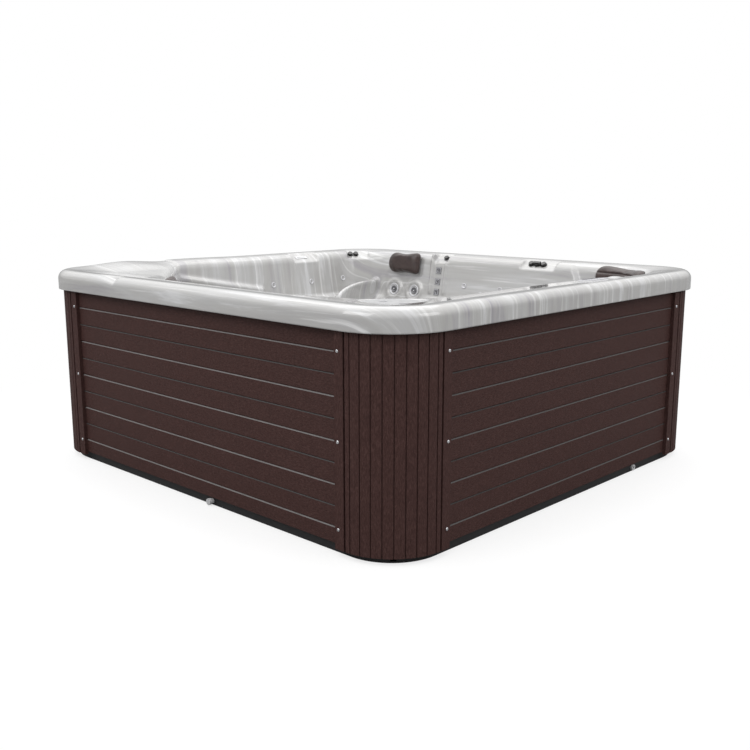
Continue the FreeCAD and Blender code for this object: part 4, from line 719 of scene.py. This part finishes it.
def moulded_finish(name, color, roughness, speck=0.06, coat=0.0):
    """Moulded plastic or rubber: a faint mottle and a fine texture."""
    finish = Finish(name, color, roughness, coat=coat)
    place = finish.place()
    mottle = finish.noise(place, 60.0, 3.0)
    dark = tuple(part * (1 - speck * 2) for part in color)
    light = tuple(min(part * (1 + speck * 2), 1) for part in color)
    finish.color(finish.ramp(mottle, [(0.35, dark), (0.65, light)]))
    finish.rough(mottle, max(roughness - 0.06, 0.02), roughness + 0.08)
    finish.bump(finish.noise(place, 900.0, 2.0), 0.12, 0.0003)
    return finish.material


def metal_finish(name, color, roughness, brush=(1, 1, 1)):
    """Metal with a brushed or cast variation in its sheen."""
    finish = Finish(name, color, roughness, metallic=1.0)
    marks = finish.noise(finish.place(brush), 140.0, 4.0, 0.7)
    finish.rough(marks, max(roughness - 0.07, 0.03), roughness + 0.12)
    finish.bump(marks, 0.10, 0.0002)
    return finish.material


def timber_finish():
    finish = Finish("softwood", (0.50, 0.36, 0.21), 0.7)
    rings = finish.noise(finish.place((6, 6, 30)), 3.0, 5.0, 0.6, 1.5)
    finish.color(finish.ramp(rings, [(0.3, (0.36, 0.24, 0.13)), (0.6, (0.60, 0.45, 0.28))]))
    finish.bump(rings, 0.3, 0.001)
    return finish.material


def glass_finish():
    finish = Finish("lamp_lens", (0.82, 0.87, 0.92), 0.12, coat=0.6)
    finish.shader.inputs["Transmission Weight"].default_value = 0.55
    ribs = finish.noise(finish.place((400, 400, 400)), 1.0, 1.0)
    finish.bump(ribs, 0.25, 0.0008)
    return finish.material


ACRYLIC = acrylic_finish()
# The lip tones are painted groove highlights: brighter on the front and back planks, dimmer on the side planks.
PLANKS = cabinet_finish("brown_planks", (95, 95, 330), (0.200, 0.075))
SIDE_PLANKS = cabinet_finish("brown_side_planks", (95, 95, 330), (0.105, 0.055))
SLATS = cabinet_finish("brown_slats", (300, 300, 70))
LEATHER = leather_finish()
STEEL = metal_finish("stainless", (0.66, 0.66, 0.68), 0.22)
BLACK = moulded_finish("black_plastic", (0.012, 0.010, 0.010), 0.30, coat=0.5)
JET_GREY = moulded_finish("jet_grey", (0.13, 0.13, 0.14), 0.24, coat=0.5)
FINISHES = {
    "acrylic": ACRYLIC,
    "cabinet": PLANKS,
    "screws": STEEL,
    "tray": moulded_finish("black_base", (0.012, 0.012, 0.013), 0.6),
    "timber": timber_finish(),
    "foam": moulded_finish("foil_foam", (0.62, 0.62, 0.60), 0.5),
    "pillow": LEATHER,
    "jet_steel": STEEL,
    "jet_plastic": JET_GREY,
    "white_plastic": moulded_finish("white_plastic", (0.70, 0.70, 0.71), 0.3, 0.02),
    "lens": glass_finish(),
    "dark_trim": BLACK,
    "lid": moulded_finish("lid_grey", (0.52, 0.52, 0.53), 0.22, 0.04, 0.5),
    "bezel": moulded_finish("bezel_grey", (0.50, 0.50, 0.52), 0.3, 0.03),
    "buttons": moulded_finish("keypad_rubber", (0.10, 0.10, 0.11), 0.6),
    "cartridge": moulded_finish("filter_cloth", (0.72, 0.74, 0.78), 0.9, 0.05),
    "motor": metal_finish("cast_motor", (0.20, 0.21, 0.23), 0.5),
    "wet_end": moulded_finish("volute_black", (0.03, 0.03, 0.035), 0.45),
    "heater": metal_finish("drawn_tube", (0.62, 0.62, 0.64), 0.3, (8, 1, 1)),
    "box": moulded_finish("control_case", (0.12, 0.13, 0.15), 0.5),
    "hose": moulded_finish("flexible_hose", (0.55, 0.57, 0.60), 0.5),
    "handle": moulded_finish("valve_red", (0.32, 0.03, 0.02), 0.4),
    "cable": moulded_finish("cable_sheath", (0.02, 0.02, 0.02), 0.6),
    "grey_fitting": moulded_finish("grey_fitting", (0.50, 0.50, 0.51), 0.4),
}


def dress_cad_nodes():
    """Gives every CAD node the finish of its material slot."""
    for part in frame["record"]["subparts"]:
        name, slot = part["node"], part["material_slot"]
        mesh = frame["nodes"][name].data
        material = FINISHES[slot]
        if name.endswith("_corner"):
            material = SLATS
        elif name in ("left_panel", "right_panel"):
            material = SIDE_PLANKS
        mesh.materials.clear()
        mesh.materials.append(material)
        mesh.polygons.foreach_set("material_index", [0] * len(mesh.polygons))


dress_cad_nodes()


# ---------------------------------------------------------------- acrylic shell

def flow_attributes(mesh, points, quads):
    """Stores where each point lay on the flat sheet, so that the marbling follows the walls."""
    normals = np.empty(len(points) * 3)
    mesh.vertices.foreach_get("normal", normals)
    normals = normals.reshape(-1, 3)
    for _ in range(30):
        normals = neighbour_mean(normals, quads)
    drop = points[:, 2] - TOP
    for name, values in (("along", points[:, 0] - normals[:, 0] * drop),
                         ("across", points[:, 1] - normals[:, 1] * drop)):
        mesh.attributes.new(name, "FLOAT", "POINT").data.foreach_set("value", values.astype(np.float32))


def build_shell():
    points, quads = shell_surface()
    shell = new_piece("acrylic_shell_sheet", "tub", ACRYLIC, points, quads)
    flow_attributes(shell.data, points, quads)
    wall = shell.modifiers.new("wall", "SOLIDIFY")
    wall.thickness = SKIN
    wall.offset = -1
    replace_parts(applied(shell), "acrylic_shell")
    return shell


build_shell()


# ---------------------------------------------------------------- jets and filter cartridge

def turned(places, profile, segments=48, closed=False):
    """Surfaces turned round each place's own Z; a profile point is radius, height and squareness."""
    points, faces = [], []
    for place in places:
        start = len(points)
        for radius, height, square in profile:
            for step in range(segments):
                turn = 2 * math.pi * step / segments
                across, along = math.cos(turn), math.sin(turn)
                reach = radius / max(abs(across), abs(along)) ** square
                points.append(place @ Vector((reach * across, reach * along, height)))
        rings = [range(first, first + segments)
                 for first in range(start, start + len(profile) * segments, segments)]
        pairs = list(zip(rings, rings[1:]))
        if closed:
            pairs.append((rings[-1], rings[0]))
        else:
            faces += [tuple(rings[0])[::-1], tuple(rings[-1])]
        for low, high in pairs:
            for step in range(segments):
                after = (step + 1) % segments
                faces.append((low[step], low[after], high[after], high[step]))
    return points, faces


def turned_piece(name, body, slot, material, places, profile, **options):
    points, faces = turned(places, profile, **options)
    piece = new_piece(name, body, material, points, faces)
    bm = bmesh.new()
    bm.from_mesh(piece.data)
    bmesh.ops.recalc_face_normals(bm, faces=bm.faces)
    bm.to_mesh(piece.data)
    bm.free()
    return piece


def round_profile(*pairs):
    return [(radius, height, 0.0) for radius, height in pairs]


def make_small_jets():
    """Round inserts with a raised lip, a dished throat and a dark eye."""
    lip = round_profile((0.0090, -0.0100), (0.0145, 0.0003), (0.0150, 0.0022), (0.0138, 0.0038),
                        (0.0118, 0.0040), (0.0100, 0.0028), (0.0085, 0.0008), (0.0068, 0.0002),
                        (0.0062, -0.0050))
    rims = turned_piece("small_jet_rims", "tub", "jet_plastic", JET_WHITE, SMALL_JETS, lip, closed=True)
    eye = round_profile((0.0064, -0.0060), (0.0064, -0.0022), (0.0040, -0.0008), (0.0018, -0.0003),
                        (0.0005, 0.0))
    turned_piece("small_jet_eyes", "tub", "jet_plastic", BLACK, SMALL_JETS, eye)
    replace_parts(rims, "small_jets")


def make_neck_jets():
    """Square frames of the neck jets, each with a round dark eye."""
    frame_profile = [(0.0150, 0.0003, 0.86), (0.0166, 0.0014, 0.86), (0.0162, 0.0036, 0.86),
                     (0.0140, 0.0042, 0.84), (0.0100, 0.0034, 0.4), (0.0078, 0.0030, 0.0),
                     (0.0064, 0.0010, 0.0), (0.0064, -0.0050, 0.0)]
    turned_piece("neck_jet_frames", "tub", "jet_plastic", JET_WHITE, NECK_JETS, frame_profile, closed=True)
    eye = round_profile((0.0066, -0.0060), (0.0066, -0.0020), (0.0042, -0.0008), (0.0020, 0.0004),
                        (0.0005, 0.0008))
    turned_piece("neck_jet_eyes", "tub", "jet_plastic", BLACK, NECK_JETS, eye)


def make_rotary_jets():
    """Bright ring, dished nozzle with an off-centre outlet; each nozzle turns on its own body."""
    ring = round_profile((0.0225, -0.0040), (0.0320, 0.0003), (0.0340, 0.0014), (0.0336, 0.0040),
                         (0.0310, 0.0058), (0.0285, 0.0054), (0.0262, 0.0034), (0.0240, 0.0012),
                         (0.0220, 0.0004), (0.0208, 0.0008), (0.0205, -0.0030))
    rings = turned_piece("rotary_ring_trims", "tub", "jet_steel", JET_WHITE, ROTARY.values(), ring,
                         segments=72, closed=True)
    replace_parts(rings, "rotary_jet_rings")
    dish = round_profile((0.0180, -0.0040), (0.0188, 0.0020), (0.0182, 0.0042), (0.0165, 0.0050),
                         (0.0145, 0.0042), (0.0125, 0.0022), (0.0100, 0.0012), (0.0070, 0.0012),
                         (0.0040, 0.0014), (0.0010, 0.0016))
    hub = round_profile((0.0040, 0.0008), (0.0040, 0.0034), (0.0030, 0.0048), (0.0005, 0.0052))
    outlet = round_profile((0.0034, -0.0010), (0.0034, 0.0018), (0.0028, 0.0026), (0.0005, 0.0022))
    for side, place in ROTARY.items():
        body = f"rotary_nozzle_{side}"
        nozzle = turned_piece(f"{body}_dish", body, "jet_plastic", JET_GREY, [place], dish, segments=64)
        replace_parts(nozzle, body)
        turned_piece(f"{body}_hub", body, "jet_plastic", STEEL, [place], hub)
        offset = place @ Matrix.Translation((0.0, 0.0090, 0.0))
        turned_piece(f"{body}_outlet", body, "jet_plastic", BLACK, [offset], outlet)


def make_cartridge():
    """Pleated filter cloth between two end caps, open down the middle."""
    low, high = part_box("filter_cartridge")
    middle = Matrix.Translation(((low.x + high.x) / 2, (low.y + high.y) / 2, low.z))
    height, radius, pleats = high.z - low.z, (high.x - low.x) / 2, 64
    bore, cap = radius * 0.32, 0.016
    points, faces = [], []
    segments = pleats * 4
    levels = [cap + (height - 2 * cap) * share for share in (0, 0.02, 0.98, 1)]
    for level, deep in zip(levels, (0.0, 1.0, 1.0, 0.0)):
        for step in range(segments):
            fold = abs((step % 4) - 2) / 2 * deep
            reach = radius - 0.004 - 0.010 * fold
            turn = 2 * math.pi * step / segments
            points.append(middle @ Vector((reach * math.cos(turn), reach * math.sin(turn), level)))
    for level in range(3):
        for step in range(segments):
            after = (step + 1) % segments
            first, second = level * segments, (level + 1) * segments
            faces.append((first + step, first + after, second + after, second + step))
    faces += [tuple(range(segments))[::-1], tuple(range(3 * segments, 4 * segments))]
    cloth = new_piece("filter_pleats", "filter_set", FINISHES["cartridge"], points, faces, False)
    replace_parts(cloth, "filter_cartridge")
    cap_profile = round_profile((bore, 0.0), (radius - 0.002, 0.0), (radius, 0.003), (radius, cap - 0.003),
                                (radius - 0.003, cap + 0.0005), (bore + 0.004, cap + 0.0005), (bore, cap - 0.004))
    ends = [middle, middle @ Matrix.Translation((0, 0, height - cap - 0.0005))]
    turned_piece("filter_end_caps", "filter_set", "cartridge", FINISHES["grey_fitting"], ends, cap_profile,
                 segments=64, closed=True)


JET_WHITE = moulded_finish("jet_white", (0.55, 0.55, 0.57), 0.16, 0.02, 0.8)
make_small_jets()
make_neck_jets()
make_rotary_jets()
make_cartridge()


# ---------------------------------------------------------------- head pillows

def pillow_outline(half_along, half_up, far_radius, near_radius):
    """Plan of a pillow, along and up the wall; each end has its own corner radius."""
    points = []
    for quarter in range(4):
        near = quarter in (0, 3)
        radius = near_radius if near else far_radius
        along = (half_along - radius) * (1 if near else -1)
        up = (half_up - radius) * (1 if quarter < 2 else -1)
        for step in range(9):
            turn = math.pi / 2 * (quarter + step / 8)
            points.append((along + radius * math.cos(turn), up + radius * math.sin(turn)))
    return points


def pillow_blank(outline, thick):
    """A slightly small closed pad lying on its own plane: X down the wall, Y along it, Z out of it."""
    bm = bmesh.new()
    rings = []
    for level, shrink in ((0.0, 0.95), (thick * 0.2, 1.0), (thick * 0.7, 1.0), (thick, 0.90)):
        rings.append([bm.verts.new((-up * shrink, along * shrink, level)) for along, up in outline])
    for low, high in zip(rings, rings[1:]):
        for index in range(len(outline)):
            after = (index + 1) % len(outline)
            bm.faces.new((low[index], low[after], high[after], high[index]))
    bm.faces.new(rings[0][::-1])
    bm.faces.new(rings[-1])
    bmesh.ops.recalc_face_normals(bm, faces=bm.faces)
    mesh = bpy.data.meshes.new("pillow_blank")
    bm.to_mesh(mesh)
    bm.free()
    return mesh


def vertices_of(piece):
    found = np.empty(len(piece.data.vertices) * 3)
    piece.data.vertices.foreach_get("co", found)
    return found.reshape(-1, 3)


def inflate(piece):
    """Swells the pad by cloth pressure and keeps the result; its back stays flat."""
    rest = vertices_of(piece)
    cloth = piece.modifiers.new("cloth", "CLOTH")
    cloth.settings.use_pressure = True
    cloth.settings.uniform_pressure_force = 4
    cloth.settings.effector_weights.gravity = 0
    scene = bpy.context.scene
    for number in range(1, 21):
        scene.frame_set(number)
    applied(piece)
    scene.frame_set(1)
    move = vertices_of(piece) - rest
    length = np.linalg.norm(move, axis=1, keepdims=True)
    result = rest + move * np.minimum(1, PILLOW_SWELL / np.maximum(length, 1e-9))
    result[:, 2] = np.maximum(result[:, 2], 0.0)
    piece.data.vertices.foreach_set("co", result.ravel())


PILLOW_SWELL = 0.010
PILLOW_GAP = 0.003


def make_pillow(name, outline, thick, place_points, creases):
    """Blank, voxel remesh, cloth pass, creases, then laid on the wall by place_points."""
    piece = dressed(f"{name}_cover", pillow_blank(outline, thick), "tub", LEATHER)
    remesh = piece.modifiers.new("remesh", "REMESH")
    remesh.mode = "VOXEL"
    remesh.voxel_size = 0.005
    applied(piece)
    inflate(piece)
    piece.modifiers.new("smooth", "SMOOTH").iterations = 8
    piece.modifiers.new("finer", "SUBSURF").levels = 1
    applied(piece)
    points = vertices_of(piece)
    for height, depth in creases:
        groove = depth * np.exp(-((-points[:, 0] - height) / 0.004) ** 2)
        points[:, 2] -= groove * (points[:, 2] > thick * 0.5)
    points = place_points(points)
    piece.data.vertices.foreach_set("co", points.ravel())
    piece.data.polygons.foreach_set("use_smooth", [True] * len(piece.data.polygons))
    piece.data.update()
    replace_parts(piece, name)


def on_plane(place, gap=PILLOW_GAP):
    """Lays a pad on a flat wall."""
    def laid(points):
        turn = np.array(place.to_3x3())
        return (points + (0, 0, gap)) @ turn.T + np.array(place.translation)
    return laid


def round_corner(middle_angle, z, back):
    """Wraps a pad round the back right corner; back is how far it reaches into the niche."""
    def laid(points):
        height = z - points[:, 0] * math.cos(LEAN)
        wall = BACK_RIGHT_RADIUS - (WELL_RIM - height) * math.tan(LEAN)
        out = wall + back - points[:, 2] / math.cos(LEAN)
        turn = math.radians(middle_angle) - points[:, 1] / PILLOW_BEND
        x = WELL_SIDE - BACK_RIGHT_RADIUS + out * np.cos(turn)
        y = WELL_BACK - BACK_RIGHT_RADIUS + out * np.sin(turn)
        return np.stack([x, y, height], 1)
    return laid


PILLOW_BEND = 0.245


make_pillow("back_left_pillow", pillow_outline(0.115, 0.060, 0.059, 0.020), 0.032,
            on_plane(back_wall(-0.604, 0.785)), [])
make_pillow("lounger_pillow", pillow_outline(0.096, 0.053, 0.045, 0.045), 0.030,
            on_plane(slanting_wall(0.285, 0.756)), [])
make_pillow("back_right_pillow", pillow_outline(0.190, 0.054, 0.050, 0.050), 0.045,
            round_corner(61.5, 0.790, 0.010), [(0.022, 0.005)])


# ---------------------------------------------------------------- stage, light and camera

def area_light(name, place, target, size, power, tint=(1, 1, 1)):
    data = bpy.data.lights.new(name, "AREA")
    data.shape = "RECTANGLE"
    data.size, data.size_y = size
    data.energy = power
    data.color = tint
    light = bpy.data.objects.new(name, data)
    bpy.context.scene.collection.objects.link(light)
    light.location = place
    light.rotation_euler = (Vector(target) - Vector(place)).to_track_quat("-Z", "Y").to_euler()
    return light


def floor_finish():
    """A white sweep: it keeps a soft contact shadow and fades to plain white further out."""
    finish = Finish("pale_floor", (0.92, 0.92, 0.92), 0.8)
    place = finish.place()
    finish.color(finish.ramp(finish.noise(place, 3.0), [(0.3, grey(0.91)), (0.7, grey(0.93))]))
    split = finish.node("ShaderNodeSeparateXYZ", Vector=place)
    across, along = split.outputs[0], split.outputs[1]
    away = finish.math("SQRT", finish.math("ADD", finish.math("MULTIPLY", across, across),
                                           finish.math("MULTIPLY", along, along)))
    fade = finish.node("ShaderNodeMapRange", Value=away, From_Min=1.2, From_Max=2.6, To_Min=SHADOW_DEPTH,
                       To_Max=0.0).outputs[0]
    white = finish.node("ShaderNodeEmission", Color=(1, 1, 1, 1), Strength=1.0).outputs[0]
    seen = finish.node("ShaderNodeMixShader")
    finish.feed(seen.inputs[0], fade)
    finish.feed(seen.inputs[1], white)
    finish.feed(seen.inputs[2], finish.shader.outputs[0])
    camera_only = finish.node("ShaderNodeMixShader")
    finish.feed(camera_only.inputs[0], finish.node("ShaderNodeLightPath").outputs["Is Camera Ray"])
    bounce = finish.node("ShaderNodeBsdfDiffuse", Color=(*grey(FLOOR_BOUNCE), 1)).outputs[0]
    finish.feed(camera_only.inputs[1], bounce)
    finish.feed(camera_only.inputs[2], seen.outputs[0])
    finish.links.new(camera_only.outputs[0], finish.nodes["Material Output"].inputs["Surface"])
    return finish.material


def make_stage():
    bpy.ops.mesh.primitive_plane_add(size=80, location=(0, 0, 0))
    floor = bpy.context.object
    floor.name = "studio_floor"
    floor.data.materials.append(floor_finish())
    world = bpy.data.worlds.new("studio")
    bpy.context.scene.world = world
    world.use_nodes = True
    nodes, links = world.node_tree.nodes, world.node_tree.links
    background = nodes["Background"]
    height = nodes.new("ShaderNodeSeparateXYZ")
    links.new(nodes.new("ShaderNodeTexCoord").outputs["Generated"], height.inputs[0])
    dome = nodes.new("ShaderNodeMapRange")
    for name, value in (("From Min", 0.05), ("From Max", 0.70), ("To Min", DOME_LOW), ("To Max", DOME_HIGH)):
        dome.inputs[name].default_value = value
    links.new(height.outputs[2], dome.inputs["Value"])
    strength = nodes.new("ShaderNodeMapRange")
    links.new(nodes.new("ShaderNodeLightPath").outputs["Is Camera Ray"], strength.inputs["Value"])
    links.new(dome.outputs[0], strength.inputs["To Min"])
    strength.inputs["To Max"].default_value = 1.0
    links.new(strength.outputs[0], background.inputs["Strength"])
    background.inputs["Color"].default_value = (1.0, 1.0, 1.0, 1)
    area_light("key", (-0.5, -4.5, 3.6), (0, 0, 0.5), (4.0, 2.0), 58)
    area_light("side", (5.0, 0.5, 3.2), (0, 0, 0.6), (3.0, 2.0), 38)
    area_light("top", (-0.5, 0.3, 4.2), (0, 0, 0.6), (4.5, 4.5), 60)


DOME_LOW = 0.35
DOME_HIGH = 1.50
FLOOR_BOUNCE = 0.30
SHADOW_DEPTH = 0.30


def make_camera():
    data = bpy.data.cameras.new("camera")
    data.lens = 44.93
    data.sensor_width = 36
    camera = bpy.data.objects.new("camera", data)
    bpy.context.scene.collection.objects.link(camera)
    camera.location = (2.940, -3.072, 1.205)
    azimuth, pitch = math.radians(43.70), math.radians(11.33)
    camera.rotation_euler = (math.pi / 2 - pitch, 0, azimuth)
    bpy.context.scene.camera = camera


make_stage()
make_camera()
bpy.context.scene.view_settings.view_transform = "Standard"
